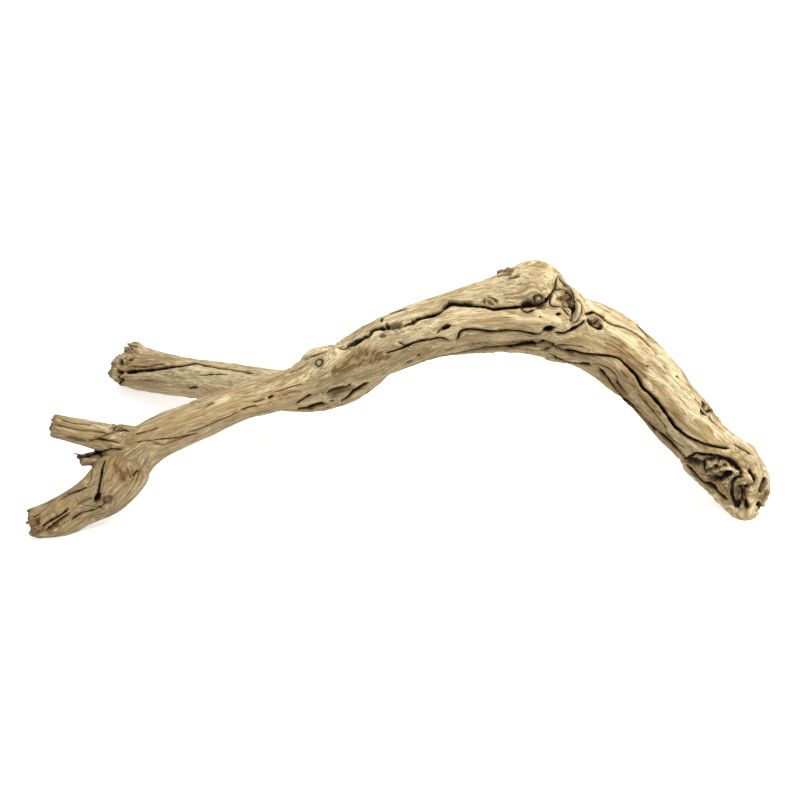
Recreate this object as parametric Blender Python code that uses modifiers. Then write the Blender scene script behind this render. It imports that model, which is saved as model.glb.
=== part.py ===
"""A piece of driftwood: a forked vine stem, stripped and bleached, that stands on three low ends.

+X runs from the forked end to the knotted burl, +Y away from the side that shows, +Z up.
The floor is z = 0. The tables are in millimetres, and the model is in metres.
"""

import math
import random

import bmesh
import bpy
import numpy as np
from mathutils import Vector
from mathutils.bvhtree import BVHTree

MM = 0.001

# The skin: how finely the stems are fused, and how many triangles are left.
FUSE_STEP = 1.7
TRIANGLES = 11400
RING_STEP = 4.0
RING_POINTS = 40
DOME_STEPS = 4
LINE_STEP = 3.0
SPLIT_POWER = 1.2
FLOOR_BLOCK = 2.0

# The side that shows is seen from here, along sight lines that slope down 30 degrees.
SIGHT_SLOPE = math.radians(30)
SIGHT_DISTANCE = 1800.0
SIGHT_TARGET = Vector((-3.0, -123.0, 126.0))
SIGHT = Vector((0.0, math.cos(SIGHT_SLOPE), -math.sin(SIGHT_SLOPE)))
SIGHT_ACROSS = Vector((1.0, 0.0, 0.0))
SIGHT_UP = Vector((0.0, math.sin(SIGHT_SLOPE), math.cos(SIGHT_SLOPE)))
EYE = SIGHT_TARGET - SIGHT * SIGHT_DISTANCE

# Each stem: how blunt its first and last ends are (1 is a round dome, under 0.5 is a broken
# end), then x, y, z and radius.
STEMS = {
    "trunk": (1.0, 0.6, [
        (-86, -19, 87, 14.5), (-73, -21, 93, 21.5), (-50, -25, 97, 24.5), (-22, -31, 123, 22.5),
        (14, -38, 144, 22), (47, -43, 157, 21.5), (80, -48, 165, 24), (113, -51, 168, 25),
        (140, -55, 156, 23), (167, -59, 142, 21), (194, -63, 120, 20.5), (217, -67, 99, 21),
        (243, -73, 71, 22), (264, -78, 47, 22.5), (281, -83, 28, 21), (289, -89, 9, 14.5),
    ]),
    "front_branch": (0.45, 1.0, [
        (-304, -128, 11, 14), (-287, -123, 14, 17), (-270, -119, 23, 16.5),
        (-253, -113, 32, 20.5), (-238, -105, 46, 22), (-223, -97, 62, 19), (-203, -89, 72, 17.5),
        (-171, -73, 78, 16.5), (-138, -58, 86, 16), (-96, -43, 92, 17), (-49, -44, 116, 17),
        (-3, -51, 139, 17.5), (30, -56, 154, 14), (63, -60, 164, 13), (96, -64, 166, 13),
        (121, -66, 165, 13), (135, -65, 159, 7.5),
    ]),
    "rear_branch": (0.35, 1.0, [
        (-255, 125, 18, 20), (-242, 115, 21, 19.5), (-218, 99, 26, 19), (-184, 72, 36, 18.5),
        (-136, 34, 49, 18.5), (-90, 1, 62, 19), (-53, -15, 79, 17.5), (-17, -25, 107, 12),
    ]),
    "rear_prong": (1.0, 0.6, [(-232, 115, 28, 11), (-243, 121, 34, 8.5), (-249, 124, 41, 5.5)]),
    "fork_stub": (1.0, 0.25, [
        (-230, -95, 65, 13.5), (-249, -102, 77, 11), (-270, -107, 87, 9.5), (-287, -111, 94, 9),
    ]),
    "fork_web": (1.0, 1.0, [(-224, -92, 70, 12), (-238, -94, 74, 10), (-248, -97, 72, 9)]),
    "fork_knob": (1.0, 0.4, [(-250, -103, 58, 6.5), (-259, -107, 61, 6), (-267, -109, 61, 5)]),
    "top_stub": (1.0, 0.4, [
        (-50, -27, 112, 12), (-23, -29, 136, 12), (1, -31, 149, 13.5), (30, -35, 162, 13.5),
        (59, -39, 174, 14), (88, -43, 183, 18), (109, -45, 191, 20), (125, -47, 182, 15.5),
    ]),
    "top_flake": (1.0, 1.0, [(103, -31, 191, 5), (90, -29, 196, 3.5), (80, -29, 194, 2.5)]),
    "under_strand": (1.0, 1.0, [
        (-16, -39, 115, 12.5), (30, -48, 134, 9), (72, -53, 142, 9), (113, -59, 143, 10),
        (142, -65, 143, 9),
    ]),
    "wrapping_strand": (1.0, 1.0, [
        (113, -65, 150, 6.5), (135, -70, 158, 6.5), (145, -71, 170, 6.5), (146, -66, 180, 5.5),
        (142, -56, 184, 5.5), (136, -44, 182, 5.5), (132, -33, 174, 5),
    ]),
    "limb_top_strand": (1.0, 1.0, [
        (137, -47, 167, 16.5), (172, -49, 151, 17), (204, -55, 124, 17), (233, -61, 88, 17),
        (259, -68, 57, 17.5), (283, -77, 40, 17), (296, -83, 21, 12),
    ]),
    "limb_front_strand": (1.0, 1.0, [
        (129, -65, 152, 12.5), (162, -71, 142, 12.5), (189, -76, 124, 12.5), (214, -79, 94, 12.5),
        (241, -81, 67, 11), (274, -79, 54, 10),
    ]),
    "limb_under_strand": (1.0, 1.0, [
        (122, -57, 134, 7.5), (151, -61, 129, 9), (181, -65, 108, 9.5), (205, -69, 84, 9.5),
        (228, -73, 60, 10), (244, -79, 46, 10),
    ]),
    "limb_knot": (0.5, 0.5, [(251, -53, 78, 7.5), (262, -55, 69, 5)]),
    "burl_rim": (1.0, 1.0, [
        (289, -73, 43, 12), (300, -79, 28, 10), (303, -85, 14, 9), (294, -93, 2, 9.5),
    ]),
    "burl_heel": (1.0, 1.0, [
        (242, -77, 44, 8.5), (251, -81, 33, 9.5), (265, -85, 22, 10), (280, -91, 9, 10),
        (289, -99, 4, 10.5),
    ]),
    "burl_side": (1.0, 0.5, [(247, -63, 28, 7.5), (254, -65, 19, 6)]),
}

# Lobes round a stem's section, each with its height as a share of the radius.
LOBES = ((2, 0.05), (3, 0.05), (5, 0.035), (8, 0.022))

# Splits that the weather opened on the side that shows: the half width, the depth, and the
# line in that view, as mm across and up from its middle.
SPLITS = [
    (4.2, 8.0, [(-40, 45), (-19, 58), (-5, 60), (11, 66), (30, 72), (40, 79), (66, 76),
                (91, 75), (108, 80), (119, 86)]),
    (3.8, 6.0, [(-14, 40), (-2, 40), (21, 49), (41, 48), (50, 54), (83, 53), (114, 53),
                (129, 53), (149, 63), (154, 70)]),
    (4.2, 8.0, [(126, 40), (143, 37), (177, 34), (193, 18), (204, 3), (226, -24), (244, -35),
                (268, -39)]),
    (3.4, 5.0, [(162, 64), (188, 57), (202, 45), (207, 37)]),
    (3.6, 5.5, [(159, 27), (170, 16), (179, 2), (195, -11), (202, -21)]),
    (4.0, 8.0, [(-224, 23), (-199, 24), (-170, 29), (-142, 28), (-118, 23)]),
    (3.8, 7.0, [(-293, -106), (-280, -96), (-268, -87)]),
    (3.2, 6.0, [(-238, -53), (-242, -65), (-244, -78)]),
    (3.4, 5.5, [(-253, -43), (-233, -40), (-219, -36)]),
    (3.6, 5.5, [(-81, -7), (-65, -3), (-47, 0), (-33, 10), (-25, 14)]),
    (4.4, 8.0, [(235, -46), (249, -45), (260, -47), (270, -49), (278, -58), (281, -62)]),
    (3.6, 7.0, [(281, -63), (273, -65), (268, -75), (271, -87)]),
    (3.4, 7.0, [(284, -56), (287, -65), (284, -78), (283, -87)]),
    (4.6, 8.0, [(254, -65), (262, -62), (269, -59)]),
]

# Splits on the other side: the stem that they follow, how many, their half width and depth.
HIDDEN_SPLITS = (
    ("trunk", 4, 5.0, 6.5), ("front_branch", 4, 4.6, 5.5), ("rear_branch", 3, 4.8, 6.5),
    ("limb_top_strand", 2, 5.0, 6.5),
)
HIDDEN_LENGTH = (45.0, 120.0)
HIDDEN_SIDE = (math.radians(80), math.radians(280))
HIDDEN_DRIFT = 0.6
HIDDEN_WANDER = 0.1
HIDDEN_TURN = 4.0

# Knot holes, in the same view: mm across and up, radius and depth.
PITS = [
    (-244, -79, 7.0, 9.0), (120, 58, 6.0, 6.0), (36, 58, 5.5, 5.0), (158, 65, 6.5, 5.0),
    (-5, 61, 7.0, 4.0), (-66, 30, 4.5, 2.5), (104, 77, 6.5, 6.0), (277, -76, 7.0, 5.0),
]


def clear_scene():
    for obj in list(bpy.data.objects):
        bpy.data.objects.remove(obj)


def smooth_path(places, step):
    """A Catmull-Rom curve through the rows, with points about a step apart."""
    rows = np.array(places, float)
    rows = np.vstack([2 * rows[0] - rows[1], rows, 2 * rows[-1] - rows[-2]])
    found = []
    for before, start, end, after in zip(rows, rows[1:], rows[2:], rows[3:]):
        count = max(2, round(float(np.linalg.norm((end - start)[:3])) / step))
        for t in np.arange(count) / count:
            found.append(0.5 * (
                2 * start + (end - before) * t
                + (2 * before - 5 * start + 4 * end - after) * t ** 2
                + (3 * start - before - 3 * end + after) * t ** 3
            ))
    found.append(rows[-2])
    return np.array(found)


def swell(seed, along, angles):
    """How the outline swells and draws in round a stem: a few lobes that twist slowly along it."""
    draw = random.Random(seed)
    total = np.ones_like(angles)
    for lobes, height in LOBES:
        start = draw.uniform(0, 2 * math.pi)
        twist = draw.uniform(-0.012, 0.012)
        wobble = draw.uniform(30, 60)
        total += height * np.sin(lobes * angles + start + twist * along + math.sin(along / wobble))
    return total


def end_rings(place, heading, blunt, outwards):
    """The rings that close a stem's end with a dome, as centre and radius."""
    rings = []
    for step in range(1, DOME_STEPS):
        turn = step / DOME_STEPS * math.pi / 2
        centre = place[:3] + outwards * heading * place[3] * blunt * math.sin(turn)
        rings.append((centre, place[3] * math.cos(turn) ** (0.5 if blunt < 0.5 else 1.0)))
    return rings


def sides(heading):
    """Two directions square to a stem: one faces the side that shows, one is beside it."""
    facing = -np.array(SIGHT) + heading * float(np.dot(SIGHT, heading))
    facing /= np.linalg.norm(facing)
    return facing, np.cross(heading, facing)


def stem_mesh(verts, faces, seed, first_blunt, last_blunt, places):
    """Adds one stem's closed skin, a loft of unlike rings, to the lists."""
    path = smooth_path(places, RING_STEP)
    headings = np.gradient(path[:, :3], axis=0)
    headings /= np.linalg.norm(headings, axis=1)[:, None]
    steps = np.linalg.norm(np.diff(path[:, :3], axis=0), axis=1)
    along = np.concatenate([[0.0], np.cumsum(steps)])
    rings = [(c, r, headings[0], 0.0)
             for c, r in reversed(end_rings(path[0], headings[0], first_blunt, -1))]
    rings += [(p[:3], p[3], h, a) for p, h, a in zip(path, headings, along)]
    rings += [(c, r, headings[-1], along[-1])
              for c, r in end_rings(path[-1], headings[-1], last_blunt, 1)]
    angles = np.arange(RING_POINTS) / RING_POINTS * 2 * math.pi
    base = len(verts)
    for centre, radius, heading, at in rings:
        facing, beside = sides(heading)
        reach = radius * swell(seed, at, angles)
        for angle, r in zip(angles, reach):
            verts.append(centre + r * (facing * math.cos(angle) + beside * math.sin(angle)))
    for ring in range(len(rings) - 1):
        for i in range(RING_POINTS):
            j = (i + 1) % RING_POINTS
            low, high = base + ring * RING_POINTS, base + (ring + 1) * RING_POINTS
            faces.append((low + i, low + j, high + j, high + i))
    last = base + (len(rings) - 1) * RING_POINTS
    faces.append(tuple(base + i for i in reversed(range(RING_POINTS))))
    faces.append(tuple(last + i for i in range(RING_POINTS)))


def applied(obj):
    """The object's mesh with its modifiers worked in. The object is removed."""
    graph = bpy.context.evaluated_depsgraph_get()
    mesh = bpy.data.meshes.new_from_object(obj.evaluated_get(graph))
    bpy.data.objects.remove(obj)
    return mesh


def soften(obj):
    smooth = obj.modifiers.new("soften", "SMOOTH")
    smooth.factor = 0.5
    smooth.iterations = 2


def fused_stems():
    """All the stems in one skin, smooth where they meet."""
    verts, faces = [], []
    for seed, (first, last, places) in enumerate(STEMS.values()):
        stem_mesh(verts, faces, seed, first, last, places)
    mesh = bpy.data.meshes.new("stems")
    mesh.from_pydata([v * MM for v in verts], [], faces)
    obj = bpy.data.objects.new("stems", mesh)
    bpy.context.scene.collection.objects.link(obj)
    remesh = obj.modifiers.new("fuse", "REMESH")
    remesh.mode = "VOXEL"
    remesh.voxel_size = FUSE_STEP * MM
    soften(obj)
    return applied(obj)


def seen_point(tree, across, up):
    """The place on the skin that shows at mm across and up from the middle of the view."""
    aim = SIGHT * SIGHT_DISTANCE + SIGHT_ACROSS * across + SIGHT_UP * up
    return tree.ray_cast(EYE * MM, aim.normalized())[0]


def seen_line(tree, drawn):
    places = [seen_point(tree, across, up) for across, up in smooth_path(drawn, LINE_STEP)]
    return [np.array(p) for p in places if p is not None]


def hidden_line(tree, draw, path):
    """A line that wanders along part of a stem, on its far side."""
    length = draw.uniform(*HIDDEN_LENGTH)
    count = min(int(length / LINE_STEP), len(path) - 2)
    first = draw.randrange(len(path) - count)
    side = draw.uniform(*HIDDEN_SIDE)
    drift = draw.uniform(-HIDDEN_DRIFT, HIDDEN_DRIFT)
    line = []
    for i in range(first, first + count):
        heading = path[min(i + 1, len(path) - 1), :3] - path[max(i - 1, 0), :3]
        facing, beside = sides(heading / np.linalg.norm(heading))
        angle = side + drift * (i - first) / count + HIDDEN_WANDER * math.sin((i - first) / HIDDEN_TURN)
        aim = Vector(facing * math.cos(angle) + beside * math.sin(angle))
        place = tree.ray_cast(Vector(path[i, :3]) * MM, aim)[0]
        if place is not None:
            line.append(np.array(place))
    return line


def distances(points, line):
    """The distance of each point to a line of straight runs."""
    nearest = np.full(len(points), np.inf)
    for a, b in zip(line, line[1:]):
        run = b - a
        t = np.clip((points - a) @ run / max(float(run @ run), 1e-12), 0, 1)
        nearest = np.minimum(nearest, np.linalg.norm(points - a - t[:, None] * run, axis=1))
    return nearest


def carve(mesh):
    """Draws the skin in along each split and at each knot hole."""
    tree = BVHTree.FromPolygons(
        [v.co for v in mesh.vertices], [tuple(p.vertices) for p in mesh.polygons])
    points = np.array([v.co for v in mesh.vertices])
    normals = np.array([v.normal for v in mesh.vertices])
    cuts = [(half, deep, seen_line(tree, drawn)) for half, deep, drawn in SPLITS]
    draw = random.Random(1)
    for stem, count, half, deep in HIDDEN_SPLITS:
        path = smooth_path(STEMS[stem][2], LINE_STEP)
        cuts += [(half, deep, hidden_line(tree, draw, path)) for _ in range(count)]
    depth = np.zeros(len(points))
    for half, deep, line in cuts:
        share = distances(points, line) / (half * MM)
        depth = np.maximum(depth, deep * MM * np.clip(1 - share, 0, 1) ** SPLIT_POWER)
    for across, up, radius, deep in PITS:
        middle = np.array(seen_point(tree, across, up))
        away = np.linalg.norm(points - middle, axis=1) / (radius * MM)
        depth = np.maximum(depth, deep * MM * np.sqrt(np.clip(1 - away ** 2, 0, 1)))
    points -= normals * depth[:, None]
    mesh.vertices.foreach_set("co", points.ravel())
    mesh.update()


def wood_material():
    material = bpy.data.materials.new("bleached_wood")
    material.use_nodes = True
    shader = material.node_tree.nodes["Principled BSDF"]
    shader.inputs["Base Color"].default_value = (0.52, 0.42, 0.26, 1)
    shader.inputs["Roughness"].default_value = 0.75
    shader.inputs["Metallic"].default_value = 0.0
    return material


def floor_cutter(size):
    """A block under z = 0 that trims the three low ends to small flat feet."""
    mesh = bpy.data.meshes.new("floor")
    shape = bmesh.new()
    bmesh.ops.create_cube(shape, size=size)
    bmesh.ops.translate(shape, verts=shape.verts, vec=(0, 0, -size / 2))
    shape.to_mesh(mesh)
    shape.free()
    cutter = bpy.data.objects.new("floor", mesh)
    cutter.hide_render = True
    cutter.display_type = "WIRE"
    cutters = bpy.data.collections.new("cutters")
    bpy.context.scene.collection.children.link(cutters)
    cutters.objects.link(cutter)
    return cutter


def driftwood():
    mesh = fused_stems()
    carve(mesh)
    mesh.name = "driftwood"
    mesh.materials.clear()
    mesh.materials.append(wood_material())
    piece = bpy.data.objects.new("driftwood", mesh)
    parts = bpy.data.collections.new("driftwood")
    bpy.context.scene.collection.children.link(parts)
    parts.objects.link(piece)
    soften(piece)
    thin = piece.modifiers.new("fewer_faces", "DECIMATE")
    thin.use_collapse_triangulate = True
    thin.ratio = TRIANGLES / sum(len(p.vertices) - 2 for p in mesh.polygons)
    trim = piece.modifiers.new("feet", "BOOLEAN")
    trim.operation = "DIFFERENCE"
    trim.object = floor_cutter(FLOOR_BLOCK)
    return piece


def main():
    clear_scene()
    driftwood()


main()
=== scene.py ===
"""The looks of a piece of driftwood: a forked vine stem, stripped and bleached by the weather.

The wood is one piece that grew as one. Its stems are those of the CAD model, fused finely,
then grooved along the grain, split, pitted and knotted. All tables are in millimetres.
"""

import math
import random

import bmesh
import bpy
import numpy as np
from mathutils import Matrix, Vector
from mathutils.bvhtree import BVHTree
from mathutils.kdtree import KDTree


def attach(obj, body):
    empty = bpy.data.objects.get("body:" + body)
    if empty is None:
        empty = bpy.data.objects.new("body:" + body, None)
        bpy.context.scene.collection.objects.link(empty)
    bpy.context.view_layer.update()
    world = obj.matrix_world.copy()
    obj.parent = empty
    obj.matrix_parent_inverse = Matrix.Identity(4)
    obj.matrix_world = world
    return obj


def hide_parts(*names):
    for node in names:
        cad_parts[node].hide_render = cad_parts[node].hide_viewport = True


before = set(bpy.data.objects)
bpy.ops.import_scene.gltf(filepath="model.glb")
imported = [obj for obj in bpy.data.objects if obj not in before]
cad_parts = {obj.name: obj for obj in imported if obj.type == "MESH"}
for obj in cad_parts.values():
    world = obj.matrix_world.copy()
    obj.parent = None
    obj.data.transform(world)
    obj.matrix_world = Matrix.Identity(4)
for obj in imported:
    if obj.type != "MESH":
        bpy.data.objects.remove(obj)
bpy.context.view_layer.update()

MM = 0.001

# The camera's place, which is also where the drawn features are seen from.
SIGHT_SLOPE = math.radians(30)
SIGHT_DISTANCE = 1800.0
SIGHT_TARGET = Vector((-3.0, -123.0, 126.0))
SIGHT = Vector((0.0, math.cos(SIGHT_SLOPE), -math.sin(SIGHT_SLOPE)))
SIGHT_ACROSS = Vector((1.0, 0.0, 0.0))
SIGHT_UP = Vector((0.0, math.sin(SIGHT_SLOPE), math.cos(SIGHT_SLOPE)))
SIGHT_ROW = np.array(SIGHT)
EYE = SIGHT_TARGET - SIGHT * SIGHT_DISTANCE
LENS = 100.0
SENSOR = 36.0

# The studio, in metres: the key light, the sky's height (-1 to 1) and strength low down and
# high up, and the floor.
KEY_PLACE = (2.7, -1.3, 4.2)
KEY_TARGET = (0, 0, 0.1)
KEY_SIZE = 1.0
KEY_WATTS = 215
SKY_LOW = (-0.3, 0.95)
SKY_HIGH = (0.3, 0.86)
FLOOR_REACH = 40.0
FLOOR_GLOW = 0.55

WHITE = (1, 1, 1, 1)
CREAM = (0.85, 0.70, 0.415, 1)
STRAW = (0.56, 0.42, 0.200, 1)
GREY = (0.43, 0.355, 0.205, 1)
# The colour of the painted shade towards the left foot, away from the key light.
LEFT_SHADE = (0.28, 0.22, 0.12, 1)
HONEY = (0.40, 0.265, 0.10, 1)
TAN = (0.27, 0.175, 0.072, 1)
BROWN = (0.125, 0.070, 0.028, 1)
DARK = (0.035, 0.019, 0.010, 1)
BLACK = (0.008, 0.005, 0.003, 1)

# How finely the stems are lofted, fused and thinned, and lines are followed.
RING_STEP = 2.6
RING_POINTS = 64
DOME_STEPS = 6
FUSE_STEP = 0.7
TRIANGLES = 196000
KEEP_FINE = 1e-6
FLOW_STEP = 1.5
LINE_STEP = 0.9
TRACE_STEP = 2.0
FAR_AWAY = 999.0

# Each stem: how blunt its first and last ends are (1 is a round dome, under BROKEN_BLUNT is a
# broken end), then x, y, z and radius. These are the CAD model's rows, with a thicker fork stub.
BROKEN_BLUNT = 0.5
STEMS = {
    "trunk": (1.0, 0.6, [
        (-86, -19, 87, 14.5), (-73, -21, 93, 21.5), (-50, -25, 97, 24.5), (-22, -31, 123, 22.5),
        (14, -38, 144, 22), (47, -43, 157, 21.5), (80, -48, 165, 24), (113, -51, 168, 25),
        (140, -55, 156, 23), (167, -59, 142, 21), (194, -63, 120, 20.5), (217, -67, 99, 21),
        (243, -73, 71, 22), (264, -78, 47, 22.5), (281, -83, 28, 21), (289, -89, 9, 14.5),
    ]),
    "front_branch": (0.45, 1.0, [
        (-304, -128, 11, 14), (-287, -123, 14, 17), (-270, -119, 23, 16.5),
        (-253, -113, 32, 20.5), (-238, -105, 46, 22), (-223, -97, 62, 19), (-203, -89, 72, 17.5),
        (-171, -73, 78, 16.5), (-138, -58, 86, 16), (-96, -43, 92, 17), (-49, -44, 116, 17),
        (-3, -51, 139, 17.5), (30, -56, 154, 14), (63, -60, 164, 13), (96, -64, 166, 13),
        (121, -66, 165, 13), (135, -65, 159, 7.5),
    ]),
    "rear_branch": (0.35, 1.0, [
        (-255, 125, 18, 20), (-242, 115, 21, 19.5), (-218, 99, 26, 19), (-184, 72, 36, 18.5),
        (-136, 34, 49, 18.5), (-90, 1, 62, 19), (-53, -15, 79, 17.5), (-17, -25, 107, 12),
    ]),
    "rear_prong": (1.0, 0.6, [(-232, 115, 28, 11), (-243, 121, 34, 8.5), (-249, 124, 41, 5.5)]),
    "fork_stub": (1.0, 0.25, [
        (-230, -95, 65, 15.1), (-249, -102, 77, 12.6), (-270, -107, 87, 11.1), (-287, -111, 94, 10.6),
    ]),
    "fork_web": (1.0, 1.0, [(-224, -92, 70, 12), (-238, -94, 74, 10), (-248, -97, 72, 9)]),
    "fork_knob": (1.0, 0.4, [(-250, -103, 58, 6.5), (-259, -107, 61, 6), (-267, -109, 61, 5)]),
    "top_stub": (1.0, 0.4, [
        (-50, -27, 112, 12), (-23, -29, 136, 12), (1, -31, 149, 13.5), (30, -35, 162, 13.5),
        (59, -39, 174, 14), (88, -43, 183, 18), (109, -45, 191, 20), (125, -47, 182, 15.5),
    ]),
    "top_flake": (1.0, 1.0, [(103, -31, 191, 5), (90, -29, 196, 3.5), (80, -29, 194, 2.5)]),
    "under_strand": (1.0, 1.0, [
        (-16, -39, 115, 12.5), (30, -48, 134, 9), (72, -53, 142, 9), (113, -59, 143, 10),
        (142, -65, 143, 9),
    ]),
    "wrapping_strand": (1.0, 1.0, [
        (113, -65, 150, 6.5), (135, -70, 158, 6.5), (145, -71, 170, 6.5), (146, -66, 180, 5.5),
        (142, -56, 184, 5.5), (136, -44, 182, 5.5), (132, -33, 174, 5),
    ]),
    "limb_top_strand": (1.0, 1.0, [
        (137, -47, 167, 16.5), (172, -49, 151, 17), (204, -55, 124, 17), (233, -61, 88, 17),
        (259, -68, 57, 17.5), (283, -77, 40, 17), (296, -83, 21, 12),
    ]),
    "limb_front_strand": (1.0, 1.0, [
        (129, -65, 152, 12.5), (162, -71, 142, 12.5), (189, -76, 124, 12.5), (214, -79, 94, 12.5),
        (241, -81, 67, 11), (274, -79, 54, 10),
    ]),
    "limb_under_strand": (1.0, 1.0, [
        (122, -57, 134, 7.5), (151, -61, 129, 9), (181, -65, 108, 9.5), (205, -69, 84, 9.5),
        (228, -73, 60, 10), (244, -79, 46, 10),
    ]),
    "limb_knot": (0.5, 0.5, [(251, -53, 78, 7.5), (262, -55, 69, 5)]),
    "burl_rim": (1.0, 1.0, [
        (289, -73, 43, 12), (300, -79, 28, 10), (303, -85, 14, 9), (294, -93, 2, 9.5),
    ]),
    "burl_heel": (1.0, 1.0, [
        (242, -77, 44, 8.5), (251, -81, 33, 9.5), (265, -85, 22, 10), (280, -91, 9, 10),
        (289, -99, 4, 10.5),
    ]),
    "burl_side": (1.0, 0.5, [(247, -63, 28, 7.5), (254, -65, 19, 6)]),
}

# Lobes round a stem's section, each with its height as a share of the radius. They twist by up
# to so many radians a mm, and sway over so many mm.
LOBES = ((2, 0.05), (3, 0.05), (5, 0.035), (8, 0.022))
LOBE_TWIST = 0.012
LOBE_WOBBLE = (30, 60)

# The stems that share a run of grain. The arch runs from the front foot to the burl.
ARCH = "arch"
FLOW_OF = {
    "trunk": ARCH, "front_branch": ARCH, "under_strand": ARCH, "limb_top_strand": ARCH,
    "limb_front_strand": ARCH, "limb_under_strand": ARCH, "top_stub": ARCH, "top_flake": ARCH,
    "fork_web": ARCH, "rear_prong": "rear_branch", "fork_knob": "fork_stub",
}
ARCH_FRONT_ROWS = 10
ARCH_JOIN = (-49, -38, 108, 22)
ARCH_TRUNK_ROW = 3
BROKEN_ENDS = {
    "front_branch": "first", "rear_branch": "first", "fork_knob": "last",
    "rear_prong": "last", "top_stub": "last", "limb_knot": "last", "burl_side": "last",
}

# The grain turns round a stem by so many radians a mm. Its runs are numbered so many mm apart.
GRAIN_TWIST = 0.0022
FLOWS_APART = 700.0

# What is drawn below lies in the camera's view, in mm across and up from its middle. A line is
# across, up, across, up and so on. Turns are in degrees.

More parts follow.
